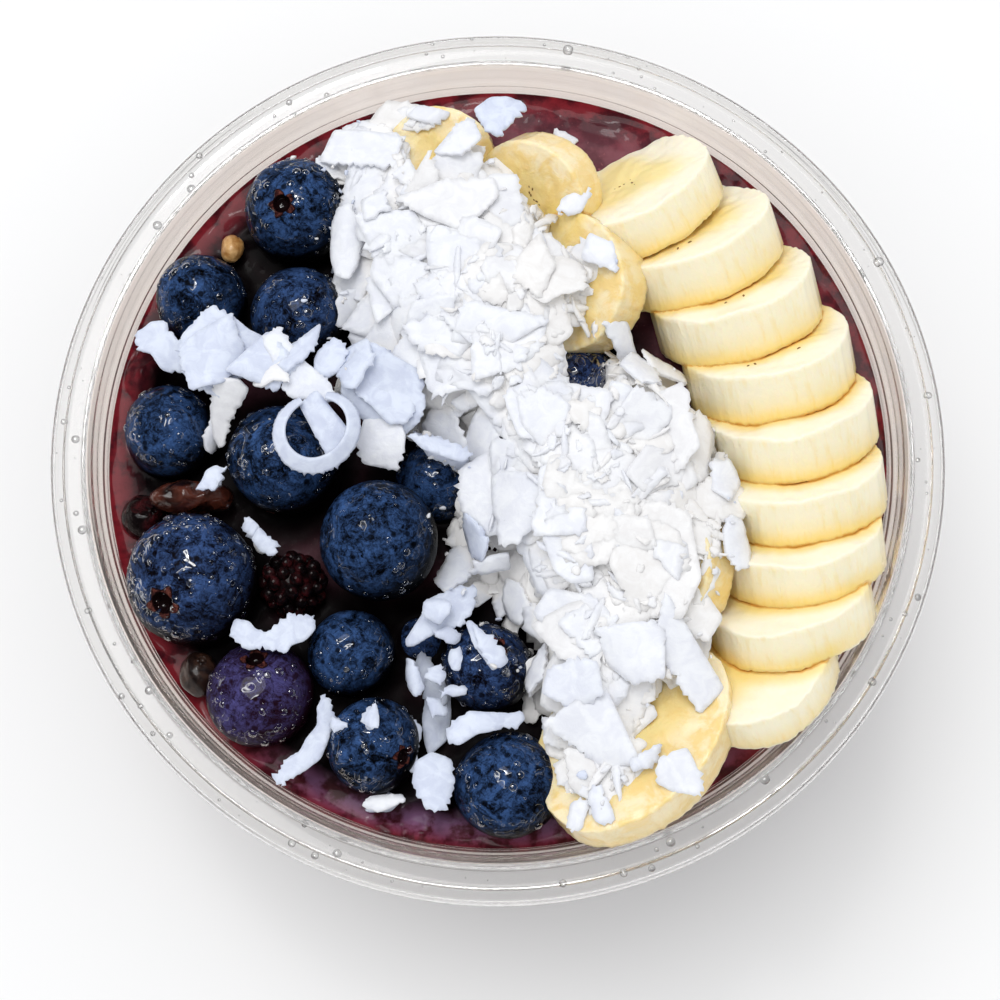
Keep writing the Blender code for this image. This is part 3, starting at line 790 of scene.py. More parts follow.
# Seeds that show where one slice ends on the next: x, y and heading
SHOWN_SEEDS = (
    (27.1, 28.9, 30),
    (25.4, 27.9, 60),
    (32.0, 19.9, 20),
    (34.5, 20.9, 80),
    (34.9, 10.6, 40),
    (35.9, 10.9, 100),
    (42.1, 13.3, 20),
)


def nodes_tree(name, wanted, nodes, links):
    """Return Geometry Nodes that change a mesh.

    wanted names the further inputs with their kinds. A node has a short name, a kind, settings
    and plain inputs. A link is two pairs of a node's short name and one of its sockets.
    """
    tree = bpy.data.node_groups.new(name, "GeometryNodeTree")
    for label, kind in (("Geometry", "Geometry"), *wanted):
        tree.interface.new_socket(label, in_out="INPUT", socket_type=f"NodeSocket{kind}")
    tree.interface.new_socket("Geometry", in_out="OUTPUT", socket_type="NodeSocketGeometry")
    made = {"given": tree.nodes.new("NodeGroupInput"), "result": tree.nodes.new("NodeGroupOutput")}
    for label, kind, settings, plain in (*nodes, *LAST_NODES):
        made[label] = tree.nodes.new(kind)
        for key, value in settings.items():
            setattr(made[label], key, value)
        for key, value in plain.items():
            made[label].inputs[key].default_value = value
    for start, out, end, into in (*links, *LAST_LINKS):
        tree.links.new(made[start].outputs[out], made[end].inputs[into])
    return tree


def kept_node(name, kind):
    """Return the row of a node that reads what a mesh keeps under a name."""
    return (name, "GeometryNodeInputNamedAttribute", {"data_type": kind}, {"Name": name})


# The end of both sets of nodes: the shapes that were put at points become one mesh of one finish
LAST_NODES = (
    ("real", "GeometryNodeRealizeInstances", {}, {}),
    ("finish", "GeometryNodeSetMaterial", {}, {}),
)
LAST_LINKS = (
    ("put", "Instances", "real", "Geometry"),
    ("real", "Geometry", "finish", "Geometry"),
    ("given", "Finish", "finish", "Material"),
    ("finish", "Geometry", "result", "Geometry"),
)
# Nodes that put one of a set of shapes at each point of a mesh
STREW = nodes_tree(
    "strew",
    (("Shapes", "Collection"), ("Size", "Float"), ("Finish", "Material")),
    (
        (
            "shapes",
            "GeometryNodeCollectionInfo",
            {},
            {"Separate Children": True, "Reset Children": True},
        ),
        kept_node("kind", "INT"),
        kept_node("turn", "FLOAT_VECTOR"),
        kept_node("size", "FLOAT_VECTOR"),
        ("sized", "ShaderNodeVectorMath", {"operation": "SCALE"}, {}),
        ("put", "GeometryNodeInstanceOnPoints", {}, {"Pick Instance": True}),
    ),
    (
        ("given", "Shapes", "shapes", "Collection"),
        ("given", "Geometry", "put", "Points"),
        ("shapes", "Instances", "put", "Instance"),
        ("kind", "Attribute", "put", "Instance Index"),
        ("turn", "Attribute", "put", "Rotation"),
        ("size", "Attribute", "sized", 0),
        ("given", "Size", "sized", "Scale"),
        ("sized", "Vector", "put", "Scale"),
    ),
)


def strew(name, shapes, places, finish):
    """Return one mesh of many small things.

    A place holds a point, a turn, sizes, which shape lies there, and its shade.
    """
    points = add_piece(f"{name}_points", [place[0] for place in places], [], finish)
    for n, label in enumerate(("turn", "size", "kind", "shade"), 1):
        keep_on_mesh(points, label, [place[n] for place in places])
    collection = bpy.data.collections.new(f"{name}_shapes")
    bpy.context.scene.collection.children.link(collection)
    for number, (verts, faces, smooth) in enumerate(shapes):
        shape = add_piece(f"{name}_shape_{number:03d}", verts, faces, finish, smooth)
        bpy.context.scene.collection.objects.unlink(shape)
        collection.objects.link(shape)
    values = {"Shapes": collection, "Size": 1.0, "Finish": finish.material}
    return made_real(points, name, STREW, values)


def made_real(source, name, tree, values):
    """Run Geometry Nodes on a mesh, keep the result as a plain piece and drop what made it."""
    modifier = source.modifiers.new(name, "NODES")
    modifier.node_group = tree
    for item in tree.interface.items_tree:
        if item.in_out == "INPUT" and item.name in values:
            modifier[item.identifier] = values[item.name]
    bpy.context.view_layer.update()
    evaluated = source.evaluated_get(bpy.context.evaluated_depsgraph_get())
    mesh = bpy.data.meshes.new_from_object(evaluated)
    source.modifiers.remove(modifier)
    bpy.data.objects.remove(source)
    for value in values.values():
        if isinstance(value, bpy.types.Collection):
            for shape in list(value.objects):
                bpy.data.objects.remove(shape)
            bpy.data.collections.remove(value)
    piece = bpy.data.objects.new(name, mesh)
    bpy.context.scene.collection.objects.link(piece)
    return piece


seed_finish = Finish("banana_seed", {"Roughness": 0.45})
seed_cloud = seed_finish.grain(0.3, 2.0)
seed_finish.drive("Base Color", seed_cloud.mix(tint(84, 56, 26), tint(160, 116, 58)))
seed_places = []
seed_rng = np.random.default_rng(5)
for x, y, heading in SHOWN_SEEDS:
    start = Vector((x, y, OVERHEAD))
    hits = [tree.ray_cast(start, Vector((0, 0, -1))) for tree in slice_trees]
    spot, normal, *_ = max((hit for hit in hits if hit[0]), key=lambda hit: hit[0].z)
    facing = normal.to_track_quat("Z", "Y").to_matrix() @ spin(heading)
    sizes = np.array((0.75, 0.36, 0.3)) * seed_rng.uniform(0.7, 1.1)
    seed_places.append((spot, facing.to_euler(), sizes, 0, seed_rng.uniform()))
for node, tilt, heading, along, across, thick, moved in SLICES:
    middle, size = fruit_spot(node)
    pose = np.array(turn(tilt, heading))
    first = seed_rng.uniform(0, 2 * math.pi)
    for n in range(SEED_ROWS * 4):
        angle = first + 2 * math.pi * (n % SEED_ROWS) / SEED_ROWS + seed_rng.normal(0, 0.14)
        reach = (0.06 + 0.06 * (n // SEED_ROWS) + seed_rng.uniform(-0.02, 0.02)) * along / 2
        height = moved + thick / 2 - 0.32
        spot = np.array((reach * math.cos(angle), reach * math.sin(angle), height))
        facing = Matrix(pose.tolist()) @ Matrix.Rotation(angle, 3, "Z")
        sizes = np.array((0.62, 0.3, 0.3)) * seed_rng.uniform(0.5, 1.0)
        seed_places.append((pose @ spot + middle, facing.to_euler(), sizes, 0, seed_rng.uniform()))
seeds = strew("banana_seeds", [(*ball_mesh((1, 1, 1), 10, 6), True)], seed_places, seed_finish)
place_piece(seeds, "banana_flesh")

# ---- The coconut heap -------------------------------------------------------------------
# Dried coconut shaved thin: curved white flakes with torn edges, and the crumbs that break off
# them. They were shaken over the berries and banana, so each lies on what fell before it.

CELL = 0.35
PLAN_REACH = 62.0
PLAN_CELLS = int(2 * PLAN_REACH / CELL)
TOP_LIMIT = cad_bounds[1].z / MM - 0.1
CORE_DEPTH = 0.8
# How far out the plan's heights are measured
RAY_REACH = 57
# How near to upright the normal of a slope is where a flake still lies on it
STEEPEST = 0.6


def middle_of(points):
    """Return the middle between the ends of some points along each axis."""
    return (points.max(0) + points.min(0)) / 2


def random_outline(length, width, rng):
    """Return the corners of a broken flake that is about a length long and a width wide."""
    corners = int(rng.integers(4, 8))
    turns = 2 * math.pi * (np.arange(corners) + rng.uniform(-0.32, 0.32, corners)) / corners
    reaches = rng.uniform(0.7, 1.2, corners)
    outline = np.column_stack([np.cos(turns), np.sin(turns)]) * reaches[:, None]
    outline -= middle_of(outline)
    return outline / np.ptp(outline, 0) * (length, width)


def torn_edge(outline, spacing, torn, rng):
    """Return points along an outline, a spacing apart: some stretches cut clean, others torn."""
    outline = np.asarray(outline, float)
    steps = np.roll(outline, -1, 0) - outline
    lengths = np.hypot(*steps.T)
    along = np.concatenate([[0], np.cumsum(lengths)])
    count = max(8, round(along[-1] / spacing))
    places = (np.arange(count) + 0.5) * along[-1] / count
    closed = np.vstack([outline, outline[:1]])
    edge = np.column_stack([np.interp(places, along, closed[:, n]) for n in (0, 1)])
    edge = (edge * 2 + np.roll(edge, 1, 0) + np.roll(edge, -1, 0)) / 4
    way = np.roll(edge, -1, 0) - np.roll(edge, 1, 0)
    out = np.column_stack([way[:, 1], -way[:, 0]]) / np.hypot(*way.T)[:, None]
    here = 2 * math.pi * places / along[-1]
    tearing = 0.55 + lobes(here, rng, (0.8, int(rng.integers(1, 4))))
    tearing = np.clip(tearing, 0.08, 1.2)
    teeth = rng.normal(size=count) + 0.8 * np.interp(places, along, rng.normal(size=len(along)))
    return edge + out * (torn * tearing * teeth)[:, None]


def rim_of(faces):
    """Return the edges that only one of some faces uses."""
    uses = dict.fromkeys(pair for face in faces for pair in zip(face, face[1:] + face[:1]))
    return [(start, end) for start, end in uses if (end, start) not in uses]


def closed_sheet(upper, lower, faces, rim):
    """Return the points, faces and smooth flags of a sheet closed between two sets of points."""
    count = len(upper)
    sides = [[end, start, count + start, count + end] for start, end in rim]
    under = [[count + index for index in face[::-1]] for face in faces]
    smooth = [True] * 2 * len(faces) + [False] * len(rim)
    return np.vstack([upper, lower]), faces + under + sides, smooth


def plate(flat, faces, rim, upper, lower):
    """Return a closed sheet over places on the plan, between two heights."""
    return closed_sheet(*(np.column_stack([flat, height]) for height in (upper, lower)), faces, rim)


def leaf_mesh(outline, thick, sag, seed, spacing, torn, sag_heading=None):
    """Return a curved flake's points, faces and which faces are smooth, round its middle.

    sag is how far it curves down over the distance from its middle to its end.
    """
    rng = np.random.default_rng(seed)
    edge = torn_edge(outline, spacing, torn, rng)
    low, high = edge.min(0), edge.max(0)
    step = spacing * 1.5
    columns, rows = (np.arange(low[n] + step, high[n] - step / 3, step) for n in (0, 1))
    inside = [(x + 0.3 * step * math.sin(9 * y), y) for x in columns for y in rows]
    if inside:
        gaps = np.linalg.norm(np.array(inside)[:, None] - edge[None], axis=2).min(1)
        inside = [point for point, gap in zip(inside, gaps) if gap > spacing * 0.8]
    points = [Vector(point) for point in edge.tolist() + inside]
    loop = [(n, (n + 1) % len(edge)) for n in range(len(edge))]
    flat, _, triangles, *_ = delaunay_2d_cdt(points, loop, [], 1, 1e-4)
    flat = np.array([(point.x, point.y) for point in flat])
    triangles = [list(triangle) for triangle in triangles]
    rim = rim_of(triangles)
    at_rim = np.zeros(len(flat), bool)
    at_rim[[start for start, _ in rim]] = True
    angle = rng.uniform(0, math.pi) if sag_heading is None else math.radians(sag_heading)
    across = flat @ np.array((math.cos(angle), math.sin(angle)))
    span = np.abs(across).max()
    height = -sag * (across / span) ** 2
    reach = max(*(high - low))
    height += 0.016 * reach * waves(flat, max(reach * 0.7, 2.5), seed, 6)
    height += 0.05 * waves(flat, 1.5, seed + 1, 12) * min(reach / 8, 1)
    half = np.where(at_rim, 0.43, 0.5) * thick
    return plate(flat, triangles, rim, height + half, height - half)


def heights_from(tree):
    """Return the highest point of a search tree under each cell of the plan."""
    heights = np.full((PLAN_CELLS, PLAN_CELLS), -1.0)
    down = Vector((0, 0, -1))
    for column in range(PLAN_CELLS):
        x = (column + 0.5) * CELL - PLAN_REACH
        for row in range(PLAN_CELLS):
            y = (row + 0.5) * CELL - PLAN_REACH
            if x * x + y * y < RAY_REACH ** 2:
                hit = tree.ray_cast(Vector((x, y, OVERHEAD)), down)[0]
                if hit:
                    heights[column, row] = hit.z
    return heights


def cells_of(places):
    """Return the plan cells that hold some places."""
    cells = ((places[:, :2] + PLAN_REACH) / CELL).astype(int)
    return np.clip(cells, 0, PLAN_CELLS - 1).T


def lie(shape, x, y, heading, tilt, tilt_heading, loft, sink):
    """Lay a flake on what is below. Return its place, its turn and its points, or nothing."""
    verts = shape[0]
    spun = np.array(spin(heading))
    flat = verts @ spun.T + (x, y, 0)
    columns, rows = cells_of(flat)
    below = heights[columns, rows]
    if (below < 0).mean() > 0.2:
        return None
    floor = np.maximum(below, np.percentile(below, 45))
    sums = np.column_stack([flat[:, 0] - x, flat[:, 1] - y, np.ones(len(flat))])
    slope = np.linalg.lstsq(sums, floor, rcond=None)[0]
    up = Vector((-slope[0], -slope[1], 1)).normalized()
    if up.z < STEEPEST:
        up = Vector((up.x, up.y, 0)).normalized() * 0.8 + Vector((0, 0, STEEPEST))
    on_slope = Vector((0, 0, 1)).rotation_difference(up).to_matrix()
    pose = np.array(lean(tilt, tilt_heading)) @ np.array(on_slope) @ spun
    turned_verts = verts @ pose.T + (x, y, 0)
    columns, rows = cells_of(turned_verts)
    if kept_open[columns, rows].any():
        return None
    gap = heights[columns, rows] - turned_verts[:, 2]
    rest = np.percentile(gap, sink)
    if (rest - gap).mean() > loft or turned_verts[:, 2].max() + rest > TOP_LIMIT:
        return None
    turned_verts[:, 2] += rest
    return np.array((x, y, rest)), Matrix(pose.tolist()).to_euler(), turned_verts


def pile_up(points):
    """Raise the plan's heights to the top of a flake that now lies there."""
    columns, rows = cells_of(points)
    np.maximum.at(heights, (columns, rows), points[:, 2])


light_in_flake = {"Subsurface Radius": (1.0, 1.0, 1.0), "Subsurface Scale": 0.3 * MM}
coconut = Finish("coconut", light_in_flake | {"Subsurface Weight": 0.2, "Roughness": 0.5})
coconut_shade = coconut.attribute("shade")
coconut_cloud = coconut.grain(2.4, 4.0, 0.6, 0.8)
coconut_fine = coconut.grain(0.5, 3.0, 0.6)
coconut_mottle = coconut_cloud.rise(0.35, 0.65)
coconut_thin = coconut_mottle.mix(tint(218, 225, 240), tint(203, 210, 229))
coconut_thick = coconut_mottle.mix(tint(235, 237, 242), tint(226, 228, 236))
coconut_warm = coconut_mottle.mix(tint(238, 237, 237), tint(231, 229, 228))
coconut_white = coconut_shade.rise(0.6, 0.8).mix(coconut_thick, coconut_warm)
# Painted light: deep points are painted whiter in place of the light that comes through the flakes
# over them
coconut_white = coconut.attribute("painted_depth_light").mix(coconut_white, tint(254, 252, 250))
coconut.drive("Base Color", coconut_shade.rise(0.22, 0.34).mix(coconut_thin, coconut_white))
coconut.bump(coconut_cloud * 0.5 + coconut_fine * 0.3, 0.16)

# Where the flakes fell, from back to front: y, then x from and to
HEAP_STRIPS = (
    (51.0, -17.0, -11.0),
    (46.5, -22.0, -9.0),
    (43.0, -23.5, -3.0),
    (40.0, -21.5, -1.0),
    (36.0, -19.5, 0.5),
    (32.0, -21.5, 8.5),
    (28.0, -22.5, 12.5),
    (24.0, -21.0, 12.0),
    (18.0, -20.0, 11.0),
    (15.0, -19.5, 14.0),
    (12.0, -20.0, 23.0),
    (9.0, -20.0, 25.5),
    (6.5, -17.0, 25.5),
    (4.0, -10.0, 27.5),
    (0.0, -8.0, 29.5),
    (-4.0, -3.0, 29.5),
    (-8.0, -5.0, 31.5),
    (-12.0, -4.0, 32.0),
    (-16.0, -5.5, 29.0),
    (-20.0, -6.0, 28.5),
    (-24.0, 1.0, 28.0),
    (-28.0, 5.5, 26.5),
    (-32.0, 5.0, 26.0),
    (-36.0, 6.0, 18.0),
    (-40.0, 8.5, 17.5),
    (-44.0, 10.5, 17.5),
    (-48.0, 12.5, 16.5),
    (-51.0, 11.0, 13.0),
)
# Gaps that stayed open: x, y, and half their size
HEAP_GAPS = ((12.0, 10.8, 1.9, 3.6), (9.6, 30.4, 1.1, 1.5), (-10.8, 43.4, 0.8, 2.8))
strip_y, strip_left, strip_right = np.array(HEAP_STRIPS[::-1]).T
cell_middles = (np.arange(PLAN_CELLS) + 0.5) * CELL - PLAN_REACH
strip_from = np.interp(cell_middles, strip_y, strip_left)
strip_to = np.interp(cell_middles, strip_y, strip_right)
# The cells of the gaps, and how far each cell lies inside the strips, less than nothing outside
kept_open = np.zeros((PLAN_CELLS, PLAN_CELLS), bool)
depth_in = np.minimum(cell_middles[:, None] - strip_from, strip_to - cell_middles[:, None])
depth_in = np.minimum(depth_in, np.minimum(cell_middles - strip_y[0], strip_y[-1] - cell_middles))
for x, y, reach_x, reach_y in HEAP_GAPS:
    off = np.hypot((cell_middles[:, None] - x) / reach_x, (cell_middles - y) / reach_y)
    kept_open |= off < 1
    depth_in = np.minimum(depth_in, (off - 1) * reach_x - 0.8)
in_heap = depth_in > -0.8

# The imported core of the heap: lower than its solid, with its rim under the puree
heap_solid = frame["nodes"]["coconut_heap"]
solid_tops = heights_from(solid_tree([heap_solid]))
core_base = PUREE_LEVEL - 0.6
core_tops = core_base + 5.0 * np.clip(depth_in + 2.0, 0, None) ** 0.6
core_tops = np.where(kept_open, core_base, np.minimum(core_tops, solid_tops - CORE_DEPTH))
core_cells = np.arange(2, PLAN_CELLS - 2, 3)
core_grid = [(a, b) for a in core_cells for b in core_cells if core_tops[a, b] > core_base + 0.3]
core_index = {cell: n for n, cell in enumerate(core_grid)}
core_faces = []
for a, b in core_grid:
    corners = [core_index.get(cell) for cell in ((a, b), (a + 3, b), (a + 3, b + 3), (a, b + 3))]
    if None not in corners:
        core_faces.append(corners)
core_flat = np.array([(cell_middles[a], cell_middles[b]) for a, b in core_grid])
core_top = np.array([core_tops[cell] for cell in core_grid])
core_low = np.full(len(core_grid), core_base)
core_rim = rim_of(core_faces)
core_top[sorted({corner for edge in core_rim for corner in edge})] = core_base + 0.2
core_verts, core_faces, core_smooth = plate(core_flat, core_faces, core_rim, core_top, core_low)
core_solid = add_piece("coconut_core", core_verts, core_faces, coconut, core_smooth)
keep_on_mesh(core_solid, "shade", 0.6)
place_piece(core_solid, "coconut", "coconut_heap")

loose_nodes = sorted(name for name in frame["nodes"] if name.startswith("flake_"))
loose_solids = [frame["nodes"][name] for name in loose_nodes]
lain_on = [puree, core_solid, raisin, drupelets, nut] + berries + slices + loose_solids
heights = heights_from(solid_tree(lain_on))

ceiling = np.where(in_heap, np.maximum(solid_tops + 0.6, heights + 1.6), heights + 0.5)
heap_cells = in_heap & (heights > 0)

# Kinds of flake: name, how many to try, length from and to, the spacing of its mesh, its torn
# edge's depth, how many shapes, and how far it may lie above the heap
FLAKE_KINDS = (
    ("medium_flakes", 380, 5.5, 11.0, 0.5, 0.18, 30, 0.0),
    ("small_flakes", 70, 2.4, 5.0, 0.32, 0.11, 24, 0.0),
    ("large_flakes", 220, 9.0, 17.0, 0.5, 0.24, 24, 0.0),
    ("top_small_flakes", 60, 2.0, 5.0, 0.32, 0.11, 24, 0.6),
    ("shreds", 90, 3.5, 8.0, 0.35, 0.08, 24, 0.6),
    ("torn_bits", 120, 1.2, 2.6, 0.24, 0.1, 24, 1.0),
)
# How far a flake may reach outside the strips, and how far it may stand clear of what is below
OVERHANG = 4.4
LYING_CLEAR = 1.8
heap_pieces = [core_solid]
for kind, numbers in enumerate(FLAKE_KINDS):
    name, tries, shortest, longest, spacing, torn, shape_count, above = numbers
    rng = np.random.default_rng(40 + kind)
    shapes = []
    for n in range(shape_count):
        length = rng.uniform(shortest, longest)
        breadth = rng.uniform(0.14, 0.24) if name == "shreds" else rng.uniform(0.4, 0.9)
        outline = random_outline(length, length * breadth, rng)
        sag = length * rng.uniform(-0.06, 0.14)
        thick = min(rng.uniform(0.18, 0.28), 0.08 * length)
        shapes.append(leaf_mesh(outline, thick, sag, 1000 * kind + n, spacing, torn))
    places = []
    for _ in range(tries):
        spots = np.flatnonzero(heap_cells & (ceiling + above - heights > 0.4))
        if not len(spots):
            break
        column, row = divmod(rng.choice(spots), PLAN_CELLS)
        x, y = (np.array((column, row)) + rng.uniform(0, 1, 2)) * CELL - PLAN_REACH
        pick = int(rng.integers(shape_count))
        tilt = abs(rng.normal(0, 10))
        loft = 1.8 + 0.1 * longest
        lain = lie(shapes[pick], x, y, rng.uniform(0, 360), tilt, rng.uniform(0, 360), loft, 72)
        if lain is None:
            continue
        place, euler, points = lain
        columns, rows = cells_of(points)
        tops = np.maximum(ceiling[columns, rows], heights[columns, rows])
        too_high = (points[:, 2] - tops).mean() > LYING_CLEAR + above
        if too_high or depth_in[columns, rows].min() < -OVERHANG:
            continue
        pile_up(points)
        middle_x = np.interp(y, strip_y, (strip_left + strip_right) / 2)
        warmth = np.clip(0.64 + 0.014 * (x - middle_x) + rng.normal(0, 0.1), 0.35, 1)
        places.append((place, euler, (1, 1, 1), pick, warmth))
    flakes = strew(name, shapes, places, coconut)
    place_piece(flakes, "coconut")
    heap_pieces.append(flakes)

# ---- The large loose flakes -------------------------------------------------------------
# Wide shavings that came to rest by themselves on the berries, the puree and the heap's top.

# Flakes that are solids of their own: name, how far the flake sags and along what heading, its
# shade, and its outline from its middle: x and y of one corner after another
LOOSE_FLAKES = (
    ("arm_end", 0.8, 120, 0.1, (
        -6, 1.6, -3.6, 3.8, -1.6, 4, -0.9, 2.3, 0, 1.3, 2.4, 0.8, 2.3, -1.4, 2.4, -4, -1.4, -3.9,
        -2.5, -2.5, -3.4, -1, -5.4, -0.7,
    )),
    ("arm_flat", 1.2, 35, 0.2, (
        -7.1, -2.5, -7, 2.5, -5, 4.6, -2.6, 6.8, 0, 5.5, 2.6, 3.4, 6.4, 1.8, 5.5, 0, 4.4, -1.6,
        3.7, -3.4, 0.8, -3.7, -0.9, -6, -1.8, -6.6, -3.8, -5, -5.4, -3.7,
    )),
    ("arm_corner", 1.6, 60, 0.3, (
        -3.7, 3.9, -1.9, 5.4, 0, 2.8, 2.4, -0.2, 5.6, -2.6, 7, -5.6, 4.4, -6.2, 1.7, -5.4,
        -0.6, -4.6, -1.6, -1.8, -2.6, 0.6, -3.6, 2.2,
    )),
    ("strip_in_curl", 0.3, 30, 0.2, (-3.6, 2.6, -1.1, 4.8, 3.9, -1.6, 0.8, -5.6)),
    ("butterfly", 0.5, 0, 0.1, (
        -6, 0.2, -5.3, 2, -3.2, 1.6, -2.5, 0.5, -0.7, 0, 0.7, 1.6, 2.1, 2.6, 3.4, 3, 3.9, 2.3,
        5.5, 2.6, 6, 0.9, 5.3, -0.2, 4.3, -1.2, 2.5, -1.8, 2, -3, 0.6, -2.6, -0.9, -2.1, -3.9, -2.4,
        -5.7, -0.5,
    )),
    ("bent_strip", 1.0, 40, 0.2, (
        2.4, 6.6, 4, 4.3, 3.8, 2.4, 3.1, -0.3, 2, -2.6, 0.2, -4, -1.4, -5.1, -2.9, -5.8, -3.1, -6.7,
        -4, -6.2, -4.4, -5.1, -3.6, -3.7, -2.3, -2.4, -0.9, -1.7, 0.2, 0.4, 1.5, 2, 1.5, 4.3,
        2, 5.6,
    )),
    ("south_chunk", 0.6, 20, 0.1, (
        -2.6, 2.8, -0.4, 4.2, 1.8, 3.6, 2.6, 3, 2.9, 0.2, 2.4, -2.8, 1, -4.2, -0.6, -3.6, -2, -2.4,
        -3, -0.2,
    )),
    ("south_tall", 0.5, 0, 0.1, (
        0.6, 5.5, 1.8, 5.1, 2.3, 3.2, 2.4, 0, 1.8, -3.4, -0.7, -5.7, -1.4, -3.6, -1.7, -0.4,
        -1.1, 3, -0.2, 5.1,
    )),
    ("south_cross", 0.7, 10, 0.1, (
        -5, -1.6, -4.6, 0.5, -1.9, 2.4, 2.3, 2.3, 5.4, 2.2, 5, 0.3, 1.9, -0.2, -0.8, -0.7,
        -3.3, -2.3,
    )),
    ("middle_left", 1.0, 60, 0.1, (
        -6.2, -3, -3.4, 1.2, -2.8, 2.8, 0.6, 4.6, 3.5, 4.4, 3.3, 1.8, 1.3, -1.1, -2.5, -2.3,
        -4.8, -3.8, -6, -3.9,
    )),
    ("middle_small", 0.3, 120, 0.0, (
        -2.2, 3.3, -1.5, 3.6, 0.7, 1.5, 3.3, -2, 1.6, -3.6, -1.1, 0.1,
    )),
    ("north", 0.5, 40, 0.1, (
        -3.6, 1.2, -1.2, 3, 1.4, 3.2, 3.8, 1.8, 2.2, -0.8, 0.6, -3, -1.2, -2.6, -2.4, -1,
    )),
)
CLEAN_CUT = ("strip_in_curl", "south_tall", "middle_small")
# The strip inside the curl leans on it, above the middle of its solid
STRIP_LIFT = 1.4


def loose_flake(name, place, outline, sag, sag_heading, shade, thick, torn, tilt=0, heading=0):
    """Return a flake of an outline, tipped towards a heading, with its middle at a place."""
    corners = np.reshape(outline, (-1, 2))
    seed = sum(map(ord, name))
    verts, faces, smooth = leaf_mesh(corners, thick, sag, seed, 0.38, torn, sag_heading)
    if name == "loose_flake_strip_in_curl":
        groove = verts[:, :2] @ np.array((0.77, 0.63)) - 0.2
        verts[:, 2] -= 0.3 * np.exp(-((groove / 0.3) ** 2))
    verts = verts @ np.array(lean(tilt, heading)).T
    verts += place - middle_of(verts)
    flake = add_piece(name, verts, faces, coconut, smooth)
    keep_on_mesh(flake, "shade", float(shade))
    return flake


for name, sag, sag_heading, shade, outline in LOOSE_FLAKES:
    middle, _ = fruit_spot(f"flake_{name}")
    torn = 0.04 if name in CLEAN_CUT else 0.2
    middle[2] += STRIP_LIFT if name == "strip_in_curl" else 0
    flake = loose_flake(f"loose_flake_{name}", middle, outline, sag, sag_heading, shade, 0.5, torn)
    place_piece(flake, "coconut", f"flake_{name}")

# The curled shaving: a band bent into a ring that is open at the back and leans outwards
CURL_RADIUS = 4.9
CURL_WIDTH = 2.3
CURL_STEPS = 110
CURL_ROWS = 7
curl_middle, _ = fruit_spot("flake_curl")
curl_rng = np.random.default_rng(9)
curl_sides = []
for side in (0.22, -0.22):
    points = []
    for n in range(CURL_STEPS + 1):
        angle = math.radians(118 + 318 * n / CURL_STEPS)
        width = CURL_WIDTH * (1 - 0.5 * abs(2 * n / CURL_STEPS - 1) ** 5)
        outer = width * (0.5 + 0.08 * curl_rng.normal() * (0.3 + 0.7 * math.sin(angle) ** 2))
        for share in np.linspace(-1, 1, CURL_ROWS):
            reach = width / 2 * share if share < 1 else outer
            radius = CURL_RADIUS + 0.35 * math.sin(2 * angle + 0.6) + 0.75 * reach + side * 0.6
            height = 0.7 * reach + 1.1 * math.sin(angle) ** 2
            height -= side * 0.8 * (1 - 0.5 * abs(share) ** 3)
            points.append((radius * math.cos(angle), 1.06 * radius * math.sin(angle), -height))
    curl_sides.append(points)
curl_faces = []
for n in range(CURL_STEPS):
    for a in range(CURL_ROWS * n, CURL_ROWS * (n + 1) - 1):
        curl_faces.append([a, a + 1, a + 1 + CURL_ROWS, a + CURL_ROWS])
curl_verts, curl_faces, _ = closed_sheet(*curl_sides, curl_faces, rim_of(curl_faces))
curl_verts += curl_middle - middle_of(curl_verts)
curl = add_piece("loose_flake_curl", curl_verts, curl_faces, coconut)
keep_on_mesh(curl, "shade", 0.1)
place_piece(curl, "coconut", "flake_curl")

# ---- The further shavings ---------------------------------------------------------------
# Single shavings of note on the heap and round it, too thin or too mixed in to be solids.

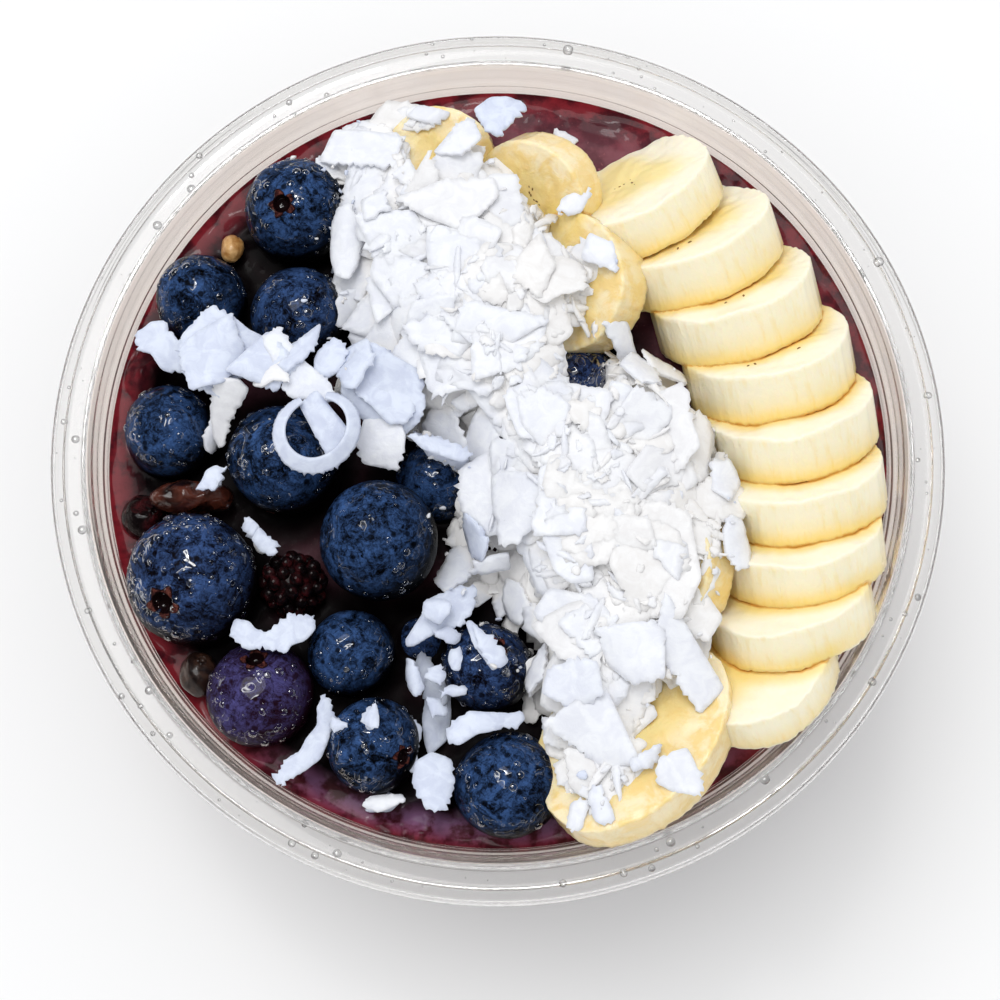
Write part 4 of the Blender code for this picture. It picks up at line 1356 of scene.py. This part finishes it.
# One flake a row: x, y, length, width, bend, heading, tilt and its heading, and its shade
FURTHER_FLAKES = (
    (-19.6, 43.6, 12.5, 12.0, 0.35, 20, 6, 120, 0.5),
    (-12.1, 47.5, 8.0, 5.5, 0.3, 70, 10, 60, 0.8),
    (-17.6, 33.4, 5.6, 5.2, 0.4, 60, 6, 200, 0.4),
    (-8.6, 44.6, 8.5, 3.4, 0.3, 96, 6, 90, 0.7),
    (-5.2, 43.6, 7.4, 5.2, 0.3, 60, 6, 200, 0.5),
    (-9.8, 49.0, 6.5, 4.4, 0.3, 20, 4, 90, 0.4),
    (-7.0, 33.4, 14.5, 7.6, 0.3, 4, 4, 260, 0.7),
    (5.3, 24.0, 9.6, 5.6, 0.3, 80, 6, 200, 0.8),
    (10.9, 34.0, 6.2, 3.2, 0.3, 20, 4, 40, 0.5),
    (10.6, 32.0, 7.0, 4.6, 0.3, 40, 4, 40, 0.6),
    (9.3, 48.4, 4.4, 3.2, 0.2, 140, 0, 0, 0.4),
    (-39.9, 12.6, 12.5, 10.5, 0.35, 80, 4, 100, 0.1),
    (-33.0, 11.0, 10.5, 8.5, 0.4, 10, 8, 330, 0.2),
    (-27.3, 13.0, 9.0, 4.2, 0.3, 55, 14, 150, 0.2),
    (-39.4, 3.6, 9.0, 3.6, 0.6, 82, 10, 270, 0.6),
    (-40.2, -4.4, 4.8, 2.2, 0.3, 55, 0, 0, 0.2),
    (-34.9, -10.6, 3.0, 2.2, 0.3, 140, 0, 0, 0.2),
    (-33.0, -12.8, 4.0, 2.6, 0.3, 150, 0, 0, 0.3),
    (-15.9, 6.6, 13.5, 10.5, 0.3, 150, 4, 60, 0.0),
    (-20.0, 10.5, 8.0, 6.0, 0.4, 60, 8, 90, 0.0),
    (-19.0, 1.0, 9.0, 5.4, 0.5, 120, 10, 200, 0.6),
    (-8.2, -0.6, 9.5, 3.4, 0.3, 155, 8, 330, 0.2),
    (3.8, 0.4, 12.0, 11.0, 0.7, 100, 4, 200, 0.8),
    (8.2, 10.4, 10.5, 5.0, 0.4, 82, 12, 180, 0.1),
    (10.2, 21.5, 12.5, 9.5, 0.35, 60, 8, 20, 0.5),
    (14.4, 30.4, 8.5, 6.4, 0.3, 150, 6, 40, 0.5),
    (14.2, 25.6, 7.4, 5.0, 0.4, 120, 8, 0, 0.6),
    (25.6, -30.2, 17.5, 8.6, 0.35, 104, 8, 20, 0.5),
    (18.6, -29.6, 12.0, 9.0, 0.4, 140, 6, 200, 0.4),
    (13.6, -39.7, 14.5, 11.0, 0.45, 160, 6, 240, 0.4),
    (10.2, -34.5, 9.0, 7.0, 0.4, 30, 6, 200, 0.3),
    (24.6, -47.0, 8.0, 6.4, 0.3, 130, 4, 300, 0.4),
    (20.0, -44.4, 5.5, 4.0, 0.3, 60, 4, 300, 0.3),
    (33.0, -14.6, 8.0, 4.6, 0.4, 100, 10, 0, 0.6),
    (31.5, -5.5, 7.0, 5.2, 0.4, 70, 10, 0, 0.6),
    (17.6, 14.6, 9.0, 5.0, 0.4, 140, 6, 0, 0.6),
    (20.0, 10.2, 8.0, 6.0, 0.4, 100, 6, 0, 0.5),
    (23.4, 11.4, 8.2, 4.6, 0.3, 165, 4, 0, 0.7),
    (-17.4, -38.6, 3.8, 1.8, 0.2, 95, 0, 0, 0.2),
    (-21.9, -39.2, 2.8, 1.4, 0.2, 150, 0, 0, 0.2),
    (-15.6, -49.2, 6.0, 3.0, 0.4, 10, 6, 270, 0.0),
    (-1.6, -28.8, 7.4, 3.2, 0.3, 125, 4, 0, 0.1),
    (-6.9, -26.6, 4.2, 2.6, 0.3, 160, 6, 0, 0.2),
    (-10.1, -30.6, 6.0, 3.2, 0.5, 105, 10, 180, 0.0),
    (-6.2, -16.6, 8.0, 5.6, 0.4, 60, 8, 180, 0.3),
    (-3.5, -13.0, 8.0, 5.0, 0.4, 100, 8, 180, 0.1),
    (-8.8, -33.8, 5.0, 3.0, 0.3, 120, 4, 180, 0.1),
    (-0.6, -17.2, 7.0, 4.6, 0.4, 40, 8, 200, 0.5),
    (2.2, -21.6, 7.5, 5.0, 0.4, 110, 8, 200, 0.6),
    (5.0, -31.4, 7.5, 5.0, 0.4, 80, 8, 180, 0.5),
    (10.6, -52.0, 5.0, 2.4, 0.3, 80, 4, 180, 0.4),
    (13.6, -50.6, 6.0, 3.0, 0.3, 110, 4, 180, 0.3),
)
further_shapes = []
further_places = []
for seed, numbers in enumerate(FURTHER_FLAKES, 700):
    x, y, length, width, bend, heading, tilt, tilt_heading, shade = numbers
    outline = random_outline(length, width, np.random.default_rng(seed))
    shape = leaf_mesh(outline, 0.4, bend * width * 0.25, seed, 0.45, 0.18, 90)
    lain = lie(shape, x, y, heading, tilt, tilt_heading, 9.0, 93)
    if lain is None:
        continue
    pile_up(lain[2])
    further_places.append((lain[0], lain[1], (1, 1, 1), len(further_shapes), shade))
    further_shapes.append(shape)
further = strew("further_flakes", further_shapes, further_places, coconut)
place_piece(further, "coconut")

# How deep each point lies in the heap: what lies deep is painted whiter, a painted light in place
# of the light that comes through the flakes over it
around = np.zeros_like(heights)
cell_steps = [(a, b) for a in range(-6, 7) for b in range(-6, 7) if a * a + b * b < 40]
for a, b in cell_steps:
    around += np.roll(heights, (a, b), (0, 1)) / len(cell_steps)
for piece in heap_pieces + [further]:
    places = np.empty(3 * len(piece.data.vertices))
    piece.data.vertices.foreach_get("co", places)
    places = places.reshape(-1, 3) / MM
    columns, rows = cells_of(places)
    keep_on_mesh(piece, "painted_depth_light", np.clip((around[columns, rows] + 0.3 - places[:, 2]) / 1.2, 0, 1))

# ---- The extra leaves -------------------------------------------------------------------
# Leaves of coconut that hang between the berries or lie over a neighbour, as wide as the
# loose flakes but resting on them.

# Leaves: name, x, y, z, sag, its heading, shade, tilt and heading of the tilt, and the outline
# from the middle: x and y of one corner after another
EXTRA_LEAVES = (
    ("left_leaf", -21.3, 29.2, 58.6, 0.7, 0, 0.5, 20, 190, (
        -1, 5.4, 0.8, 5.6, 2.2, 3.2, 2.5, 0.2, 2, -3, 0.6, -5.2, -1.4, -4.6, -2.4, -1.4, -2.2, 2.2,
    )),
    ("hanging_leaf", -37.6, 4.8, 57.6, 0.9, 0, 0.7, 38, 262, (
        -1.9, 5.6, 1.6, 5, 2.8, 3.2, 1.4, 0.4, -0.2, -1.8, -1.2, -5, -2, -5.8, -2.8, -4, -3, -0.4,
        -2.6, 2.6,
    )),
    ("folded_leaf", -31.4, 10.4, 61.6, 0.9, 20, 0.7, 16, 150, (
        -1.4, 3.2, 0, 3.4, 2.2, 1.6, 3, -3.4, 0.4, -2.4, -1.2, -3.2, -3, -2.6, -2.4, 0.6,
    )),
    ("blue_sheet", -15.8, 7.4, 61.2, 0.8, 60, 0.1, 5, 330, (
        -4.9, 1.8, 0.2, 6.4, 2.2, 3.6, 4.7, 1.4, 3.8, -3.6, 2, -4.8, 0.2, -4.3, -2, -2, -3.8, -0.9,
    )),
    ("ragged_leaf", -23.2, 11.6, 61.0, 0.5, 100, 0.1, 6, 200, (
        -2.2, 0.6, -1, 2.6, 0.6, 3.4, 2, 2.2, 2.6, 0.6, 1.2, -1.8, -0.6, -2.6, -2.4, -2.2,
    )),
    ("grey_leaf", -16.4, 0.2, 58.6, 0.8, 90, 0.5, 18, 230, (
        -2.2, 3.6, 2.2, 4, 3.6, 0.6, 3.2, -2, 2.2, -4.4, -0.4, -3.8, -2.8, -3.2, -3.4, -0.4,
    )),
    ("long_ledge", -8.0, -1.2, 60.4, 0.5, 60, 0.2, 8, 250, (
        -4.6, 1.2, -1.6, 1, 2.4, -0.2, 4.8, -1.6, 3, -2.8, 0, -1.8, -2.4, -0.9,
    )),
    ("bit_by_raisin", -39.9, -4.8, 57.2, 0.2, 0, 0.1, 4, 120, (
        0.6, 1.9, 1.4, 1.3, 2.4, 1.8, 1.6, -0.2, 0.4, -1.8, -2.4, -1.9, -1.4, -0.4, -0.8, 1.1,
    )),
    ("bit_pair_upper", -34.4, -11.4, 55.6, 0.2, 0, 0.1, 6, 200, (
        -1.3, 1.3, -0.4, 1.4, 1.2, 0, 0.6, -1.4, -0.4, -1, -1.4, -0.6,
    )),
    ("bit_pair_lower", -32.2, -13.6, 56.0, 0.3, 40, 0.1, 6, 300, (
        -0.6, 2, 0.4, 1, 2.2, -0.8, 1.4, -2, -0.4, -1.6, -1.8, 0.2,
    )),
    ("small_round", -8.4, -23.6, 57.6, 0.4, 80, 0.1, 6, 200, (
        -1.9, 1.2, 0, 2, 1.8, 1.2, 2, -0.4, 0.4, -2.2, -0.8, -1.6, -2.1, -0.8,
    )),
    ("pear_chip", -5.6, -30.0, 55.8, 0.2, 0, 0.1, 8, 200, (
        -0.9, 1.4, 0.6, 1.7, 1.2, 0.4, 0.4, -1.5, -0.6, -1.5, -1.3, 0,
    )),
    ("thin_arc_leaf", -11.4, -32.4, 54.4, 0.9, 0, 0.0, 30, 200, (
        -1, 3, 0.2, 2.6, 1.2, 0.2, 1.6, -1.8, 0.6, -2.8, -0.8, -1.4, -1.4, 0.6,
    )),
    ("square_chip", -8.6, -32.2, 55.6, 0.2, 30, 0.0, 6, 60, (
        -0.4, 1.4, 1.2, 1.9, 1.7, 0.2, 0.8, -1.4, -1.6, 0,
    )),
    ("lens_chip", -6.2, -34.6, 55.6, 0.3, 90, 0.0, 6, 60, (
        -2.2, -0.4, -0.6, 0.8, 1.8, 0.4, 1.6, -0.6, -0.2, -1,
    )),
    ("bow_chip", -8.4, -36.6, 54.2, 0.2, 0, 0.0, 8, 60, (
        -1.8, 1.6, 0.2, 1.2, 1.6, 0, 1.2, -1.4, 0, -0.9, -0.6, -1.8, -1.2, 0,
    )),
    ("rough_strip", -11.8, -41.6, 52.4, 0.3, 0, 0.1, 6, 120, (
        0.4, 4, 1.6, 2.8, 1.2, -0.6, 1.4, -3.4, 0.2, -3.8, -0.8, -1, -0.9, 1.8,
    )),
    ("spike_chip", -17.2, -38.4, 60.0, 0.1, 0, 0.0, 10, 250, (
        0.8, 2.3, 1.1, 0.2, 1.2, -0.8, 0.5, -1.9, -1.2, -1, -0.6, 0.2,
    )),
    ("corner_chip", -21.6, -39.4, 57.2, 0.1, 0, 0.0, 8, 200, (
        -1.1, 1.1, 0, 0.5, 1.5, -0.4, 1.3, -0.8, 0.2, -0.6, -0.6, -1.6, -1.2, -0.2,
    )),
    ("foot_of_berry", -15.6, -49.6, 53.4, 0.4, 90, 0.4, 8, 80, (
        -3, 0.2, -1.8, 1, 0.6, 1.3, 2.8, 1, 3, 0.2, 1.2, -0.6, -1, -1.4, -2.4, -0.8,
    )),
)
LEAF_THICK = 0.42
LEAF_TORN = 0.16
for name, x, y, z, sag, sag_heading, shade, tilt, heading, outline in EXTRA_LEAVES:
    look = (outline, sag, sag_heading, shade, LEAF_THICK, LEAF_TORN)
    place_piece(loose_flake(name, (x, y, z), *look, tilt, heading), "coconut")

# ---- The dew and the crumbs -------------------------------------------------------------
# Water stands in small beads on the waxy berries and on the rim, and crumbs of coconut lie
# where they rolled.

# Nodes that scatter one small shape over a surface, facing out from it
BEADS = nodes_tree(
    "beads",
    (
        ("Shape", "Object"),
        ("Density", "Float"),
        ("Smallest", "Float"),
        ("Largest", "Float"),
        ("Seed", "Int"),
        ("Finish", "Material"),
    ),
    (
        ("spread", "GeometryNodeDistributePointsOnFaces", {}, {}),
        ("shape", "GeometryNodeObjectInfo", {}, {}),
        ("share", "FunctionNodeRandomValue", {}, {}),
        ("small", "ShaderNodeMath", {"operation": "POWER"}, {1: 2.4}),
        ("size", "ShaderNodeMapRange", {}, {}),
        ("put", "GeometryNodeInstanceOnPoints", {}, {}),
    ),
    (
        ("given", "Geometry", "spread", "Mesh"),
        ("given", "Density", "spread", "Density"),
        ("given", "Seed", "spread", "Seed"),
        ("given", "Shape", "shape", "Object"),
        ("given", "Seed", "share", "Seed"),
        ("share", 1, "small", 0),
        ("small", 0, "size", "Value"),
        ("given", "Smallest", "size", "To Min"),
        ("given", "Largest", "size", "To Max"),
        ("spread", "Points", "put", "Points"),
        ("spread", "Rotation", "put", "Rotation"),
        ("shape", "Geometry", "put", "Instance"),
        ("size", "Result", "put", "Scale"),
    ),
)
clear_water = {"Roughness": 0.0, "IOR": 1.33, "Transmission Weight": 1.0}
water = Finish("water", clear_water | {"Coat Weight": 1.0, "Coat IOR": 2.4})
water.through_light(tint(252, 252, 252))
bead_shape = add_piece("bead_shape", *ball_mesh((2, 2, 1.1), 14, 8), water)

dewy_verts = []
dewy_faces = []
for number, berry in enumerate(berries):
    start = len(dewy_verts)
    dewy_verts += [vertex.co / MM for vertex in berry.data.vertices]
    skin_faces = berry.data.polygons
    middles = np.array([face.center for face in skin_faces]) / MM
    upright = np.array([face.normal.z for face in skin_faces])
    chosen = (waves(middles, 6.0, number) < 2.2 * BERRY_LOOKS[number][3] - 0.9) & (upright > 0.15)
    for index in np.flatnonzero(chosen):
        dewy_faces.append([start + corner for corner in skin_faces[int(index)].vertices])
channel_outline = (
    (BOWL_RIM - 4.7, BOWL_TOP - 1.62),
    (BOWL_RIM - 2.6, BOWL_TOP - 1.62),
    (BOWL_RIM - 0.8, BOWL_TOP - 1.6),
)
# Where beads stand: name, surface, beads to a square metre, the smallest one, and the seed
for name, surface, density, smallest, seed in (
    ("berry_dew", (dewy_verts, dewy_faces), 300000.0, 0.14, 3),
    ("rim_water_beads", turned(channel_outline, 96), 70000.0, 0.1, 8),
):
    values = {"Shape": bead_shape, "Density": density, "Smallest": smallest, "Largest": 0.75}
    source = add_piece(f"{name}_surface", *surface, water)
    values |= {"Seed": seed, "Finish": water.material}
    place_piece(made_real(source, name, BEADS, values), "clear_plastic")
bpy.data.objects.remove(bead_shape)

CRUMB_COUNT = 60
CRUMB_KINDS = 16
CRUMB_REACH = 54
crumb_rng = np.random.default_rng(12)
crumb_shapes = []
for n in range(CRUMB_KINDS):
    length = crumb_rng.uniform(0.5, 1.7)
    outline = random_outline(length, length * crumb_rng.uniform(0.4, 0.9), crumb_rng)
    crumb_shapes.append(leaf_mesh(outline, 0.3, 0.05 * length, 900 + n, 0.25, 0.05))
crumb_places = []
while len(crumb_places) < CRUMB_COUNT:
    y = crumb_rng.uniform(-52, 50)
    x = np.interp(y, strip_y, strip_left) - abs(crumb_rng.normal(0, 2.5))
    if crumb_rng.uniform() < 0.3:
        x = np.interp(y, strip_y, strip_right) + abs(crumb_rng.normal(0, 1.5))
    if math.hypot(x, y) > CRUMB_REACH:
        continue
    pick = int(crumb_rng.integers(CRUMB_KINDS))
    lain = lie(crumb_shapes[pick], x, y, crumb_rng.uniform(0, 360), 0, 0, 3, 90)
    if lain:
        crumb_places.append((lain[0], lain[1], (1, 1, 1), pick, crumb_rng.uniform()))
crumbs = strew("coconut_crumbs", crumb_shapes, crumb_places, coconut)
place_piece(crumbs, "coconut")

# ---- The floor, the light and the camera ------------------------------------------------
# A plain white floor under a large soft lamp from the upper left, seen from almost overhead.

floor_finish = Finish("floor", {"Base Color": tint(243, 243, 243), "Roughness": 0.8})
floor_finish.bump(floor_finish.grain(40.0), 0.02)
floor_corners = [(-3000, -3000, 0), (3000, -3000, 0), (3000, 3000, 0), (-3000, 3000, 0)]
floor = add_piece("floor", floor_corners, [[0, 1, 2, 3]], floor_finish)

world = bpy.data.worlds.new("studio")
world.use_nodes = True
world.node_tree.nodes["Background"].inputs["Color"].default_value = (0.98, 0.99, 1.0, 1.0)
world.node_tree.nodes["Background"].inputs["Strength"].default_value = 0.86
world.cycles_visibility.glossy = False
bpy.context.scene.world = world


def hang(name, data, middle, azimuth, elevation, distance):
    """Return a lamp or a camera that faces a point in millimetres from a distance."""
    obj = bpy.data.objects.new(name, data)
    flat = math.cos(math.radians(elevation))
    azimuth = math.radians(azimuth)
    height = math.sin(math.radians(elevation))
    way = Vector((flat * math.cos(azimuth), flat * math.sin(azimuth), height))
    obj.location = Vector(middle) * MM + way * distance * MM
    obj.rotation_mode = "QUATERNION"
    obj.rotation_quaternion = way.to_track_quat("Z", "Y")
    bpy.context.scene.collection.objects.link(obj)
    return obj


# The large lamp that lights the bowl and a small one for the glints: size, power and place
for name, size, power, azimuth, elevation in (
    ("key_lamp", 900, 8.4, 128, 70),
    ("glint_lamp", 160, 1.0, 105, 66),
):
    lamp = bpy.data.lights.new(name, "AREA")
    lamp.size = size * MM
    lamp.energy = power
    hang(name, lamp, (0, 0, BOWL_TOP), azimuth, elevation, 1500)

camera_data = bpy.data.cameras.new("camera")
camera_data.lens = 100.56
camera_data.sensor_width = 36.0
camera_data.clip_start = 0.01
camera = hang("camera", camera_data, (0.3, -5.3, BOWL_TOP - 8.0), -90, 77, 400)
bpy.context.scene.camera = camera
bpy.context.scene.view_settings.view_transform = "Standard"
